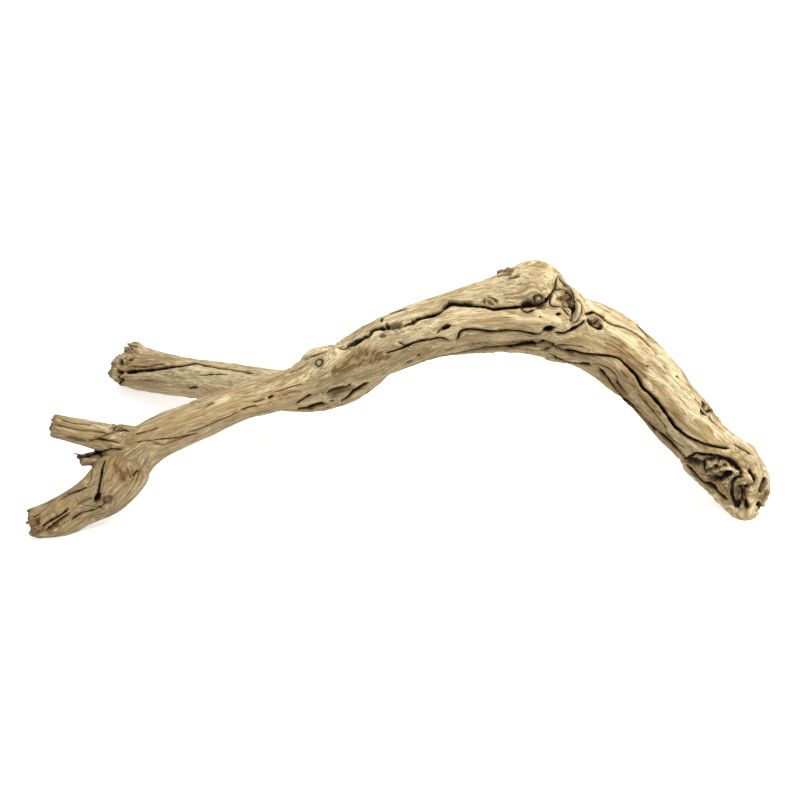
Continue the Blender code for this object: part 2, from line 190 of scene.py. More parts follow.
# Cracks that show: half width, depth, line.
CRACKS = [
    (0.57, 3, (-50.2, 42.1, -45.4, 41.3, -42.1, 42.9, -38.9, 45.4)),
    (2.03, 7, (-43.7, 42.9, -41.3, 44.6, -33.2, 48.6, -26.7, 52.7, -20.2, 56.7, -14.6, 58.3, -8.9, 57.5)),
    (1.3, 6, (-1.6, 58.3, 4.1, 61.6, 10.5, 64, 20.2, 68, 30.8, 71.3, 36.5, 76.1, 41.3, 78.6, 50.2, 77.8,
        61.6, 77, 71.3, 75.3)),
    (1.38, 6, (50.2, 77.8, 61.6, 77, 68.9, 75.3, 76.1, 73.7, 84.2, 74.5, 94, 75.3, 100.4, 77)),
    (0.97, 5, (93.2, 75.3, 102.1, 76.1, 109.4, 77, 117.5, 80.2, 122.3, 85.1, 125.6, 89.9, 126.4, 95.6,
        128, 100.4)),
    (0.65, 3, (96.4, 75.3, 102.1, 71.3, 109.4, 72.9)),
    (0.61, 3, (108.5, 85.1, 110.2, 79.4, 115, 77.8, 118.3, 83.4)),
    (0.49, 2, (-9.7, 69.7, -1.6, 72.1, 5.7, 73.7)),
    (0.49, 2, (86.7, 98, 92.3, 99.6, 97.2, 100.4)),
    (0.57, 2, (68.9, 77.8, 68, 81, 71.3, 83.4, 75.3, 81.8, 79.4, 78.6)),
    (0.53, 2, (77.8, 100.4, 83.4, 102.1, 90.7, 102.1)),
    (0.89, 5, (-13.8, 37.3, -4.1, 39.7, 4.1, 42.9, 8.9, 45.4, 17, 47.8, 24.3, 48.6, 32.4, 49.4, 40.5,
        47.8)),
    (0.97, 5, (44.6, 47, 47.8, 51, 49.4, 55.1, 54.3, 56.7, 63.2, 55.9, 72.9, 54.3)),
    (0.89, 5, (55.1, 56.7, 63.2, 55.9, 76.1, 54.3, 87.5, 55.1, 97.2, 54.3, 104.5, 52.7, 110.2, 51.8,
        115.8, 54.3)),
    (0.89, 5, (124.7, 54.3, 132, 53.5, 137.7, 55.9, 144.2, 59.1, 149.9, 64)),
    (0.57, 2, (-1.6, 46.2, 3.2, 44.6, 7.3, 42.9)),
    (0.57, 2, (29.2, 53.5, 33.2, 57.5, 38.1, 59.1)),
    (0.49, 2, (141.8, 82.6, 145.8, 79.4, 147.4, 75.3, 146.6, 69.7, 143.4, 64, 137.7, 60.8)),
    (0.77, 4, (140.9, 81, 140.9, 75.3, 140.1, 70.5, 137.7, 62.4)),
    (0.61, 3, (123.9, 85.9, 121.5, 81, 122.3, 77, 126.4, 76.1, 131.2, 76.1, 135.3, 71.3, 137.7, 66.4)),
    (0.61, 3, (127.2, 101.2, 131.2, 97.2, 136.1, 91.5, 139.3, 86.7, 140.9, 80.2)),
    (0.49, 2, (124.7, 89.9, 129.6, 89.1, 134.5, 89.9)),
    (0.73, 3, (137.7, 57.5, 140.9, 58.3, 145, 59.9, 149.9, 64.8)),
    (0.61, 3, (150.7, 69.7, 156.3, 70.5, 161.2, 68.9, 166.1, 65.6)),
    (0.65, 3, (151.5, 66.4, 154.7, 62.4, 158, 59.1, 162, 58.3, 164.4, 60.8)),
    (0.49, 3, (155.5, 70.5, 161.2, 68, 165.2, 64.8, 172.5, 60.8, 181.4, 58.3, 190.4, 54.3, 196.8, 49.4,
        201.7, 44.6, 206.6, 38.1)),
    (0.41, 2, (191.2, 64, 196.8, 57.5, 203.3, 50.2)),
    (0.49, 2, (113.4, 40.5, 126.4, 42.9, 138.5, 43.7, 150.7, 42.1)),
    (1.05, 7, (129.6, 39.7, 140.9, 38.1, 148.2, 36.5, 153.9, 35.6, 164.4, 35.6, 176.6, 34, 181.4, 30,
        185.5, 25.9, 190.4, 21.1, 196, 11.3)),
    (1.26, 8, (181.4, 30, 190.4, 21.1, 193.6, 16.2, 196.8, 9.7, 204.1, 3.2, 211.4, -4.9, 219.5, -16.2,
        223.6, -22.7, 230, -28.4)),
    (1.05, 7, (217.1, -13, 223.6, -22.7, 228.4, -27.5, 235.7, -31.6, 247.9, -36.5, 257.6, -38.1, 268.1,
        -38.9)),
    (0.65, 3, (119.9, 38.1, 128, 33.2, 136.9, 29.2, 148.2, 29.2, 155.5, 27.5)),
    (0.61, 3, (158, 27.5, 164.4, 21.9, 169.3, 16.2, 172.5, 10.5, 176.6, 4.9)),
    (0.69, 4, (175, 8.1, 179, 1.6, 186.3, -4.1, 192, -9.7, 196.8, -15.4, 201.7, -21.1, 206.6, -27.5)),
    (0.41, 2, (178.2, 23.5, 181.4, 20.2, 184.7, 17)),
    (0.53, 2, (153.9, 28.4, 159.6, 27.5, 167.7, 25.1, 173.3, 20.2, 175.8, 13.8, 179.8, 8.9, 185.5, 3.2)),
    (0.24, 1, (199.3, 34, 203.3, 30.8, 207.4, 26.7)),
    (0.24, 1, (206.6, 34.8, 213.8, 27.5, 221.9, 17.8, 231.7, 4.9)),
    (0.24, 1, (206.6, 25.9, 215.5, 16.2, 225.2, 4.1, 234.9, -8.9)),
    (0.81, 4, (239, 1.6, 242.2, -3.2, 244.6, -8.1, 248.7, -13)),
    (0.69, 4, (251.9, -7.3, 256.8, -12.2, 261.6, -17.8, 265.7, -23.5)),
    (0.61, 3, (248.7, -13, 253.5, -17, 259.2, -21.9, 264.1, -25.9)),
    (0.49, 2, (212.2, -22.7, 217.1, -29.2, 223.6, -34.8, 231.7, -39.7)),
    (0.49, 2, (194.4, 1.6, 202.5, -7.3, 210.6, -17, 217.1, -25.1)),
    (1.05, 6, (-222.8, 23.5, -212.2, 23.5, -201.7, 24.3, -190.4, 25.9, -176.6, 28.4, -164.4, 30, -157.1,
        28.4, -150.7, 27.1)),
    (0.69, 4, (-165.2, 29.6, -157.1, 28.4, -149, 27.1, -138.5, 25.4, -127.2, 23.5, -118.3, 21.5)),
    (0.81, 3, (-170.9, 8.9, -167.7, 9.7, -163.6, 10.5)),
    (0.57, 2, (-162.8, 19.4, -150.7, 21.1, -139.3, 21.1)),
    (0.53, 2, (-206.6, 15.4, -200.1, 15.4)),
    (0.65, 3, (-227.6, 32.4, -224.4, 34, -221.9, 36.5)),
    (0.81, 4, (-230, 25.1, -226.8, 21.1, -229.2, 17)),
    (0.73, 3, (-227.6, 12.2, -223.6, 15.4)),
    (0.53, 2, (-218.7, 27.5, -209.8, 26.7, -200.9, 27.5, -190.4, 30)),
    (0.49, 2, (-215.5, -27.5, -209, -25.9, -202.5, -24.3, -195.2, -21.9)),
    (0.45, 2, (-158, -4.9, -154.7, -3.2, -150.7, -1.6)),
    (0.49, 2, (-175, -27.5, -165.2, -25.1, -158.8, -22.7, -153.1, -20.2, -146.6, -17, -139.3, -14.6,
        -129.6, -8.9)),
    (0.57, 2, (-129.6, -8.9, -122.3, -6.5, -115, -4.9)),
    (0.41, 2, (-202.5, -34, -196.8, -35.6, -191.2, -36.5, -184.7, -34.8, -178.2, -32.4, -170.1, -29.2)),
    (0.49, 2, (-119.9, -2.4, -114.2, -0.8, -108.5, 0.8)),
    (0.53, 2, (-103.7, 6.5, -94.8, 8.9, -85.9, 11.3, -78.6, 13)),
    (0.45, 1, (-90.7, 23.5, -84.2, 25.1, -78.6, 28.4, -73.7, 32.4)),
    (0.49, 1, (-88.3, 27.5, -80.2, 33.2, -68.9, 37.3, -60.8, 39.7, -55.9, 42.1)),
    (0.41, 1, (-95.6, 2.4, -88.3, 5.7, -81, 7.3)),
    (1.3, 6, (-83.4, -8.1, -75.3, -7.3, -69.7, -4.9, -62.4, -3.2, -51.8, -0.8)),
    (1.17, 6, (-47.8, -1.6, -42.1, 1.6, -37.3, 6.5, -32.4, 9.7, -24.3, 14.6)),
    (0.69, 3, (-83.4, -4.1, -77, 0, -70.5, 4.1)),
    (0.81, 3, (-63.2, 4.1, -56.7, 5.7, -47.8, 7.3, -42.1, 10.5, -38.9, 13)),
    (0.61, 3, (-72.9, -8.9, -64.8, -8.9, -55.9, -6.5)),
    (0.73, 4, (-253.5, -42.9, -247.1, -42.9, -242.2, -42.9, -234.9, -40.5, -223.6, -39.7)),
    (0.97, 6, (-239, -47.8, -241.4, -53.5, -243, -63.2, -244.6, -72.9, -245.4, -81)),
    (0.28, 1, (-235.7, -49.4, -239, -56.7, -240.6, -64.8, -240.6, -72.1)),
    (0.28, 1, (-247.1, -50.2, -249.5, -56.7, -251.1, -64.8, -254.3, -69.7)),
    (0.32, 1, (-210.6, -38.9, -218.7, -42.9, -226, -48.6, -230.9, -55.9, -233.3, -64.8)),
    (0.32, 1, (-202.5, -44.6, -207.4, -53.5, -212.2, -64.8, -217.9, -73.7)),
    (0.41, 2, (-227.6, -55.1, -225.2, -60.8, -221.9, -66.4)),
    (0.41, 2, (-221.9, -53.5, -219.5, -59.1, -217.9, -64.8)),
    (0.57, 2, (-218.7, -34.8, -206.6, -33.2, -194.4, -32.4, -178.2, -30.8, -162, -27.5)),
    (0.57, 2, (-247.1, -32.4, -236.5, -27.5, -226, -23.5, -217.9, -25.1)),
    (0.41, 1, (-260.8, -84.2, -251.1, -86.7, -237.3, -89.1)),
    (0.41, 1, (-293.2, -86.7, -281.9, -80.2, -270.5, -76.1, -259.2, -72.1)),
    (0.61, 3, (-215.5, -62.4, -213.8, -59.9, -211.4, -57.5)),
    (0.49, 2, (-280.3, -19.4, -270.5, -21.9, -259.2, -24.3, -246.2, -25.1, -233.3, -26.7)),
    (0.49, 2, (-275.4, -15.4, -262.4, -18.6, -249.5, -20.2)),
    (0.61, 3, (-252.7, -33.2, -243.8, -32.4, -235.7, -33.2, -226.8, -34.8)),
    (0.49, 2, (-236.5, -17, -228.4, -19.4, -218.7, -18.6)),
    (0.97, 5, (-293.2, -106.9, -288.4, -102.1, -283.5, -98, -275.4, -93.2, -268.1, -87.5)),
    (0.65, 3, (-287.6, -108.5, -281.1, -102.9, -273.8, -96.4, -267.3, -92.3)),
    (0.61, 3, (-296.5, -94.8, -290.8, -89.9, -283.5, -85.1)),
    (0.61, 2, (-277, -81, -267.3, -76.1, -259.2, -72.9, -252.7, -70.5)),
    (0.57, 2, (-267.3, -98.8, -257.6, -92.3, -246.2, -89.1, -236.5, -83.4)),
    (0.49, 2, (-262.4, -85.1, -254.3, -81, -249.5, -79.4)),
    (0.61, 3, (269.7, -34.8, 277.8, -39.7, 285.1, -44.6)),
    (1.3, 6, (229.2, -49.4, 233.3, -47.8, 236.5, -45.4, 240.6, -43.7, 245.4, -44.6, 257.6, -46.2, 265.7,
        -47.8, 273, -50.2)),
    (1.86, 8, (264.1, -47, 270.5, -48.6, 274.6, -51.8, 277, -56.7, 278.6, -61.6)),
    (1.13, 4, (243, -49.4, 245.4, -55.1, 247.9, -60.8, 251.9, -64.8)),
    (1.05, 4, (230.9, -51.8, 234.9, -55.9, 239.8, -61.6, 245.4, -67.2, 251.1, -69.7)),
    (1.3, 5, (278.6, -62.4, 273.8, -62.4, 269.7, -66.4, 268.9, -72.9, 268.9, -79.4, 271.4, -87.5)),
    (1.22, 5, (280.3, -68, 282.7, -71.3, 281.9, -77.8, 282.7, -87.5)),
    (1.05, 4, (283.5, -55.1, 285.1, -59.9, 287.6, -64, 285.1, -69.7)),
    (0.89, 3, (273.8, -69.7, 277, -76.1, 275.4, -83.4)),
    (1.38, 5, (296.5, -62.4, 294, -68.9, 291.6, -76.1)),
    (0.73, 3, (253.5, -70.5, 259.2, -75.3, 265.7, -81)),
    (0.73, 4, (288.4, -83.4, 290.8, -88.3, 289.2, -92.3)),
]

# Brown stains: half width, strength, line.
STAINS = [
    (6.48, 1, (-51, 22.7, -45.4, 29.2, -38.1, 35.6, -27.5, 38.9, -16.2, 36.5)),
    (4.86, 1, (-45.4, 22.7, -32.4, 29.2, -19.4, 32.4, -9.7, 34.8)),
    (3.24, 0.7, (-68, 15.4, -61.6, 16.2, -55.1, 17.8)),
    (3.24, 0.6, (-82.6, 9.7, -78.6, 11.3, -74.5, 13)),
    (4.05, 0.8, (-97.2, 5.7, -89.1, 6.5, -81, 7.3)),
    (4.05, 0.9, (-53.5, 2.4, -46.2, 6.5, -38.9, 11.3)),
    (3.24, 0.7, (-95.6, 0.8, -87.5, 1.6, -82.6, 3.2)),
    (4.86, 0.6, (141.8, 47, 151.5, 46.2, 161.2, 45.4)),
    (4.86, 0.8, (170.9, 47.8, 175.8, 47, 181.4, 44.6)),
    (8.1, 1, (171.7, 43.7, 178.2, 40.5, 185.5, 34.8, 192, 28.4, 196.8, 21.1)),
    (4.05, 0.8, (219.5, -8.1, 223.6, -12.2, 227.6, -17)),
    (4.05, 0.7, (240.6, -17, 245.4, -21.9, 251.1, -25.1)),
    # These two broad stains, on the limb below its big crack, are brown stain and painted shade beneath
    # the crack.
    (9.72, 0.85, (166.9, 19.4, 176.6, 6.5, 189.5, -9.7, 202.5, -22.7)),
    (8.1, 0.8, (184.7, 22.7, 194.4, 6.5, 206.6, -9.7)),
    (2.43, 0.8, (-177.4, 11.3, -173.3, 11.3, -170.1, 11.3)),
    (4.86, 0.8, (-220.3, 25.9, -212.2, 26.7, -204.9, 25.9)),
    (4.05, 0.8, (-209.8, 13, -202.5, 13)),
    (3.24, 0.7, (-175, -3.2, -168.5, -3.2, -162, -1.6)),
    (2.43, 0.9, (-152.3, -21.9, -149, -20.2)),
    (2.43, 0.8, (-131.2, -10.5, -127.2, -8.1)),
    (2.43, 0.8, (-117.5, -7.3, -113.4, -4.9)),
    (3.24, 0.7, (-202.5, -34.8, -191.2, -37.3, -179.8, -33.2)),
    (6.48, 0.15, (129.6, 96.4, 131.2, 87.5, 130.4, 80.2, 136.1, 71.3, 138.5, 64.8)),
    (4.05, 1, (80.2, 103.7, 85.9, 105.3, 91.5, 105.3)),
    (3.24, 0.6, (105.3, 108.5, 111.8, 110.2, 119.1, 108.5)),
    (5.67, 0.9, (-246.2, -30.8, -241.4, -31.6, -237.3, -33.2)),
    (7.29, 1, (-228.4, -55.1, -223.6, -63.2, -218.7, -59.9, -213, -57.5)),
    (5.67, 0.8, (-239.8, -45.4, -233.3, -48.6, -230, -56.7)),
    (5.67, 0.9, (-287.6, -105.3, -280.3, -100.4, -272.2, -94)),
    (9.72, 0.5, (-287.6, -90.7, -267.3, -81, -249.5, -74.5)),
    (6.48, 0.8, (258.4, -68, 263.2, -72.1, 268.1, -77)),
    (8.1, 0.9, (276.2, -71.3, 277, -78.6, 278.6, -83.4)),
    (5.67, 0.8, (236.5, -50.2, 241.4, -53.5, 244.6, -58.3)),
    (3.24, 1, (251.9, -10.5, 257.6, -16.2, 264.1, -22.7)),
    (4.05, 0.6, (4.1, 38.9, 16.2, 38.9, 32.4, 41.3)),
    (3.24, 0.7, (69.7, 78.6, 74.5, 79.4, 78.6, 78.6)),
    (3.24, 0.8, (-6.5, 59.9, -1.6, 59.9, 2.4, 60.8)),
    (4.05, 0.7, (119.9, 43.7, 131.2, 45.4, 140.9, 47)),
    (4.05, 0.6, (21.1, 62.4, 26.7, 64.8, 34, 67.2)),
    (4.05, 0.5, (41.3, 63.2, 46.2, 66.4, 51.8, 68.9)),
    (3.24, 0.5, (-9.7, 47.8, 0, 51, 9.7, 54.3)),
    (4.05, 0.6, (56.7, 68.9, 72.9, 66.4, 90.7, 64)),
    (3.24, 0.6, (68, 60.8, 85.1, 59.9, 105.3, 58.3)),
    (2.43, 0.6, (85.1, 72.1, 97.2, 70.5, 109.4, 68.9)),
    (3.24, 0.6, (48.6, 59.9, 56.7, 61.6, 64.8, 62.4)),
    (4.05, 0.6, (200.9, 18.6, 210.6, 8.9, 220.3, -2.4, 228.4, -11.3)),
    (5.67, 0.7, (233.3, -22.7, 246.2, -30, 262.4, -37.3)),
    (3.24, 0.7, (243, -40.5, 255.2, -42.1, 267.3, -44.6)),
    (4.05, 0.6, (210.6, 4.1, 217.1, -4.1, 223.6, -12.2)),
    (4.86, 0.6, (-181.4, -15.4, -162, -10.5, -140.9, -4.9, -119.9, 2.4)),
    (3.24, 0.6, (-170.1, -1.6, -149.9, 4.9, -129.6, 9.7, -111.8, 15.4)),
    (3.24, 0.6, (24.3, 55.9, 40.5, 59.9, 56.7, 61.6)),
    (3.24, 0.6, (56.7, 47.8, 77, 47, 97.2, 45.4)),
    (3.24, 0.5, (0, 30.8, 16.2, 34, 32.4, 38.1)),
    (3.24, 0.6, (-194.4, -21.9, -176.6, -19.4, -157.1, -14.6)),
    (3.24, 0.6, (-214.7, -30, -202.5, -26.7, -186.3, -25.1)),
    (4.05, 0.6, (-270.5, -25.9, -257.6, -27.5, -244.6, -30)),
    (3.24, 0.6, (-202.5, 30.8, -186.3, 33.2, -166.1, 34)),
    (4.86, 0.5, (160.4, 13, 171.7, -3.2, 189.5, -24.3)),
    (4.05, 0.6, (194.4, 44.6, 202.5, 34.8, 210.6, 24.3)),
    (4.86, 0.5, (24.3, 81, 36.5, 85.1, 48.6, 88.3)),
]

# Holes, painted dark inside as painted shade: across, up, long and short radius, turn, depth.
HOLES = [
    (102.9, 77.8, 6.5, 2.6, 5, 6), (36.9, 59.1, 4.5, 2.1, 25, 5), (120.7, 56.7, 5.7, 2.9, 20, 6),
    (128.8, 69.7, 2.4, 1.5, 10, 4), (35.6, 75.3, 1.9, 1.5, 0, 4), (-14.6, 64.8, 1.8, 1.2, 20, 2),
    (113.4, 67.2, 1.1, 0.7, 0, 1), (15.4, 35.6, 1.9, 1.1, 20, 2), (8.1, 30, 2.6, 1.5, 25, 3),
    (224.4, 18.6, 1.4, 0.9, -50, 3), (140.9, 58.3, 4.1, 1.5, 25, 3), (-10.5, 59.5, 2.1, 2.9, 30, 5),
    (-104.5, 2.4, 2.6, 1.4, 20, 4), (-219.5, 22.7, 4.5, 1.9, 0, 6), (-272.2, -74.5, 3.6, 1.1, 15, 3),
    (-245, -79.8, 2.9, 5.2, -22, 9), (-256, -45.4, 5.7, 1.4, 10, 5), (257.6, -64.8, 5.7, 2.4, 8, 6),
    (265.7, -61.2, 4.9, 2.4, 38, 6), (153.9, 70.5, 4.1, 1.4, 10, 4), (162, 58.3, 3.2, 1.2, 0, 4),
    (158.8, 63.2, 1.3, 1, 0, 2), (291.6, -85.9, 2.4, 4.5, 20, 4), (294, -69.7, 6.1, 1.5, 68, 4),
    (200.9, 27.5, 1.1, 0.8, 0, 1.5),
]

# Knots: across, up, two radii, turn, height of the heart.
KNOTS = [
    (-65.8, 30.3, 3.7, 3.1, 20, 0.8), (134.5, 84.2, 3.2, 4.1, 30, 0.8), (111.8, 81.8, 4.1, 3.4, 30, 0.7),
    (-236.9, -81.8, 4.1, 3.1, 25, 0.5), (159.2, 63.6, 2.9, 2.4, -20, 1.2),
    (-228.4, -23.5, 3.6, 2.4, 0, 0.8), (247.1, -6.9, 4.1, 3.2, -40, 1.6),
]

# Hollows with a floor painted brown, as painted shade and some dirt: across, up, two radii, turn, depth,
# darkness.
HOLLOWS = [
    (240.6, -51, 6.5, 3.6, -20, 3, 0.85), (256, -49, 11.3, 2.3, -4, 4, 0.9),
    (270.5, -52.7, 6.5, 2.8, -45, 5, 1), (256.8, -64, 6.5, 2.8, 8, 5, 1),
    (264.9, -59.9, 5.7, 2.9, 38, 5, 1), (251.9, -69.7, 5.7, 2.4, -20, 4, 0.95),
    (277.8, -77, 7.7, 10.1, 5, 4, 0.75), (262.8, -53.9, 1.9, 2.8, 0, 2, 1),
    (256.4, -53.9, 1.3, 2.1, -40, 2, 0.9), (246.2, -51.8, 1.9, 3.2, 10, 3, 1),
    (235.7, -50.2, 4.1, 1.9, -10, 3, 0.9), (283.5, -70.5, 2.8, 2.3, 0, 4, 1),
    (273, -85.1, 2.6, 2.8, 0, 4, 1), (280.7, -85.9, 2.6, 3.2, 0, 4, 1),
    (294, -69.7, 6.9, 2.4, 68, 3, 0.8), (292.4, -87.5, 2.8, 4.5, 20, 4, 1),
    (297.3, -77, 2.4, 5.7, -10, 2.5, 0.6), (235.7, -62.4, 7.3, 2.4, -45, 2.5, 0.8),
    (250.3, -56.7, 3.2, 2.4, 30, 3, 0.8), (131.2, 84.2, 7.3, 12.2, 20, 1, 0),
    (-236.5, -81.8, 6.1, 4.1, 25, 0.8, 0.42), (-223.6, -61.6, 7.3, 3.6, 50, 0.6, 0.42),
    (277.8, -74.5, 4.9, 4.9, 0, 1, 0.85), (260, -56.7, 12.2, 5.7, 0, 0.8, 0.55),
    (152.3, 69.7, 3.6, 1.8, 5, 2, 1), (154.7, 63.2, 3.9, 2.8, -35, 2, 0.9),
    (162.8, 60.3, 3.2, 2.1, 20, 2, 0.9), (244.6, -9.7, 3.6, 1.9, -50, 1.8, 1),
    (251.1, -8.9, 1.8, 2.4, 20, 1.5, 0.9), (245.4, -2.4, 2.8, 1.5, -40, 1.5, 0.9),
    (-226.8, 31.6, 3.2, 4.1, 0, 2.5, 0.75), (-218.7, 34, 4.1, 1.9, 15, 2, 0.8),
    (-226.8, 22.7, 3.6, 2.1, 0, 3.5, 1), (-226, 15.4, 3.6, 3.6, 0, 2.5, 0.75),
    (-217.9, 23.1, 7.3, 2.3, 0, 3.5, 1), (-280.3, -102.9, 9.7, 2.8, 38, 3, 0.6),
    (-294.8, -98.8, 2.4, 5.7, -30, 2, 0.6), (-252.7, -44.6, 4.9, 2.3, 10, 2.5, 1),
    (-242.2, -32.4, 4.9, 2.1, -10, 1.5, 0.75), (103.7, 77.8, 8.9, 3.6, 5, 2.5, 0.75),
    (113.4, 76.1, 4.9, 2.4, 20, 2, 0.7), (119.9, 56.7, 6.5, 3.4, 15, 2.5, 0.7),
    (-4.1, 60.8, 6.9, 3.7, 14, 2, 0.72), (-10.1, 58.3, 2.1, 2.1, 0, 2, 1),
    (-14.6, 52.2, 3.9, 2.3, 0, 0.8, 0.62), (72.9, 79, 4.1, 1.6, -20, 1, 0.5),
    (-51, 6.5, 9.7, 3.6, 20, 2, 0.45), (182.2, 44.6, 4.1, 2.4, -40, 0.6, 0.3),
    (-169.3, -3.2, 5.3, 2.3, 20, 1.2, 0.7), (-262.4, -31.6, 11.3, 2.1, -14, 1, 0.5),
    (-273.8, -96.4, 9.7, 2.4, 36, 0.6, 0.4),
]

# Raised strands: half width, height, line.
RIDGES = [
    (1.54, 2.8, (268.9, -74.5, 268.9, -68.9, 271.4, -65.6, 276.2, -64, 281.9, -64, 285.1, -66.4)),
    (1.54, 2.6, (247.9, -59.9, 252.7, -58.7, 257.6, -57.1, 262.4, -55.5, 267.3, -55.5, 271.4, -57.5,
        273.8, -60.8)),
    (1.46, 2.8, (248.7, -55.9, 251.9, -53.5, 256, -49.8)),
    (2.11, 1.8, (288.4, -58.3, 289.2, -66.4, 287.6, -76.1, 285.1, -85.9, 281.1, -94)),
    (1.78, 1.4, (234.1, -53.5, 239.8, -59.1, 245.4, -64)),
    (1.94, 1, (144.2, 81, 145, 74.5, 143.4, 68, 138.5, 61.2, 131.2, 58.3)),
    (1.62, 1.6, (251.9, -10.5, 256.8, -15.4, 263.2, -22.7)),
    (1.3, 1.2, (69.7, 80.6, 72.9, 81.4, 77, 78.6)),
    (1.22, 1, (-10.5, 55.9, -11.3, 59.1, -8.9, 62.4)),
]

# Raised lips and lumps: across, up, two radii, turn, height.
LUMPS = [
    (102.9, 73.7, 5.7, 1.9, 5, 1.2), (113.4, 81.8, 4.5, 3.2, 35, 1.2), (72.1, 81.8, 6.5, 1.9, 5, 1.3),
    (122.3, 47.8, 4.9, 2, 0, 0.8), (42.9, 46.2, 4.9, 1.6, 0, 1), (260, -51.8, 2.8, 2.3, 0, 3.4),
    (266.9, -52.7, 1.8, 1.5, 0, 2.4), (271.8, -54.3, 1.5, 1.3, 0, 2), (261.6, -75.3, 5.7, 6.5, 40, 1.8),
    (276.2, -75.3, 1.6, 1.6, 0, 1.6), (279.5, -80.2, 1.6, 1.6, 0, 1.6), (274.6, -80.2, 1.3, 1.6, 0, 1.4),
    (159.2, 64, 1.3, 1.2, 0, 1.2), (246.6, -6.5, 1.9, 1.6, 0, 1.4), (-255.2, -49.4, 3.2, 2.1, 0, 1.2),
    (-168.5, -3.2, 6.5, 3.2, 20, 1.8), (-56.7, 18.6, 13, 3.2, 10, 1.2), (-202.5, 33.2, 13, 2.4, -12, 1.4),
    (-218.7, 13.8, 6.5, 2, 0, 1.2), (-275.4, -83.4, 14.6, 2.8, 24, 1.4), (-246.2, -29.2, 6.5, 3.2, 0, 1),
]

# Gnarled places, where the grain folds over itself: across, up, reach, height of the folds.
GNARLS = [
    (264.1, -63.2, 32.4, 1.9), (-2.4, 59.9, 8.9, 1.5), (159.6, 64, 8.9, 1.3), (134.5, 81, 8.9, 0.7),
    (-243, -81, 9.7, 0.9), (249.5, -8.1, 8.1, 1.6), (-223.6, 27.5, 13, 1.8), (-288.4, -100.4, 14.6, 1.8),
    (-243, -30.8, 9.7, 1), (293.2, -81, 13, 1.8), (85.9, 105.3, 8.1, 1.2), (113.4, 110.2, 6.5, 0.7),
    (-168.5, -3.2, 8.1, 1.2), (121.5, 56.7, 7.3, 1),
]

# Cracks elsewhere: how many, the ranges of length, half width and depth, and how far round
# they may come into view, from -1 (all of the side that shows) to 1 (none of it).
CRACKS_ELSEWHERE = (
    (40, (60.0, 180.0), (0.7, 1.8), (3.0, 7.0), 0.1),
    (60, (15.0, 60.0), (0.4, 0.9), (1.0, 3.0), 0.0),
    (30, (10.0, 40.0), (0.25, 0.45), (0.4, 1.0), -0.3),
)
RANDOM_SEED = 7

# These start so far from the others and drift from the grain by so much at most. A drawn crack
# is cut where its line jumps. Cracks that overlap are told apart by their groups.
CRACKS_APART = 5.0
DRIFT = 0.12
RUN_GAP = 9.0
CRACK_GROUPS = 3

# How much wider than drawn a drawn crack is, the least half width of a slot, the reach and
# depth of the soft valley beside it, and the height of its lips.
DRAWN_WIDER = 1.12
FINEST_SLOT = 0.75
VALLEY_WIDE = 3.6
VALLEY_DEEP = 1.3
LIP_HIGH = 0.8

# Knots behind: how many and their range of radius. The grain bends within so many radii.
HIDDEN_KNOTS = (14, (2.5, 6.0))
KNOT_REACH = 5

# How far from a drawn crack the grain runs beside it, and over how many places it is evened.
GUIDE_REACH = 7.0
GUIDE_MEAN = 22

# Furrows along the grain: height, length along the grain, width across it, sharpness.
FURROWS = (
    (2.1, 150.0, 19.0, 0.5), (1.3, 95.0, 8.5, 0.8), (0.55, 60.0, 3.9, 1.0), (0.2, 35.0, 1.9, 1.0),
)

# Where the painted shade towards the left foot, away from the key light, begins and where it is darkest.
LEFT_SHADE_FROM_TO = (90.0, 290.0)


def clear_default_objects():
    for name in ("Cube", "Camera", "Light"):
        if name in bpy.data.objects:
            bpy.data.objects.remove(bpy.data.objects[name])


def new_object(name, data):
    """An object that is in the scene."""
    made = bpy.data.objects.new(name, data)
    bpy.context.scene.collection.objects.link(made)
    return made


def smooth_path(places, step):
    """A Catmull-Rom curve through the rows, with points about a step apart."""
    rows = np.array(places, float)
    rows = np.vstack([2 * rows[0] - rows[1], rows, 2 * rows[-1] - rows[-2]])
    found = []
    for before, start, end, after in zip(rows, rows[1:], rows[2:], rows[3:]):
        count = max(2, round(float(np.linalg.norm((end - start)[:3])) / step))
        for t in np.arange(count) / count:
            found.append(0.5 * (
                2 * start + (end - before) * t
                + (2 * before - 5 * start + 4 * end - after) * t ** 2
                + (3 * start - before - 3 * end + after) * t ** 3
            ))
    found.append(rows[-2])
    return np.array(found)


def unit(vectors):
    return vectors / np.maximum(np.linalg.norm(vectors, axis=-1, keepdims=True), 1e-12)


def dots(first, second):
    """The dot product of each pair of rows."""
    return np.einsum("ij,ij->i", first, second)


def frames(path):
    """The heading at each point of a path, and two directions square to it."""
    headings = unit(np.gradient(path[:, :3], axis=0))
    facing = unit(-SIGHT_ROW + headings * (headings @ SIGHT_ROW)[:, None])
    return headings, facing, np.cross(headings, facing)


def lengths_along(path):
    steps = np.linalg.norm(np.diff(path[:, :3], axis=0), axis=1)
    return np.concatenate([[0.0], np.cumsum(steps)])


def swell(seed, along, angles):
    """How the outline swells and draws in round a stem: a few lobes that twist slowly along it."""
    draw = random.Random(seed)
    total = np.ones_like(angles)
    for lobes, height in LOBES:
        start = draw.uniform(0, 2 * math.pi)
        twist = draw.uniform(-LOBE_TWIST, LOBE_TWIST)
        wobble = draw.uniform(*LOBE_WOBBLE)
        total += height * np.sin(lobes * angles + start + twist * along + math.sin(along / wobble))
    return total


def end_rings(place, heading, blunt, outwards):
    """The rings that close a stem's end with a dome, as centre and radius."""
    rings = []
    for step in range(1, DOME_STEPS):
        turn = step / DOME_STEPS * math.pi / 2
        centre = place[:3] + outwards * heading * place[3] * blunt * math.sin(turn)
        rings.append((centre, place[3] * math.cos(turn) ** (0.5 if blunt < BROKEN_BLUNT else 1.0)))
    return rings


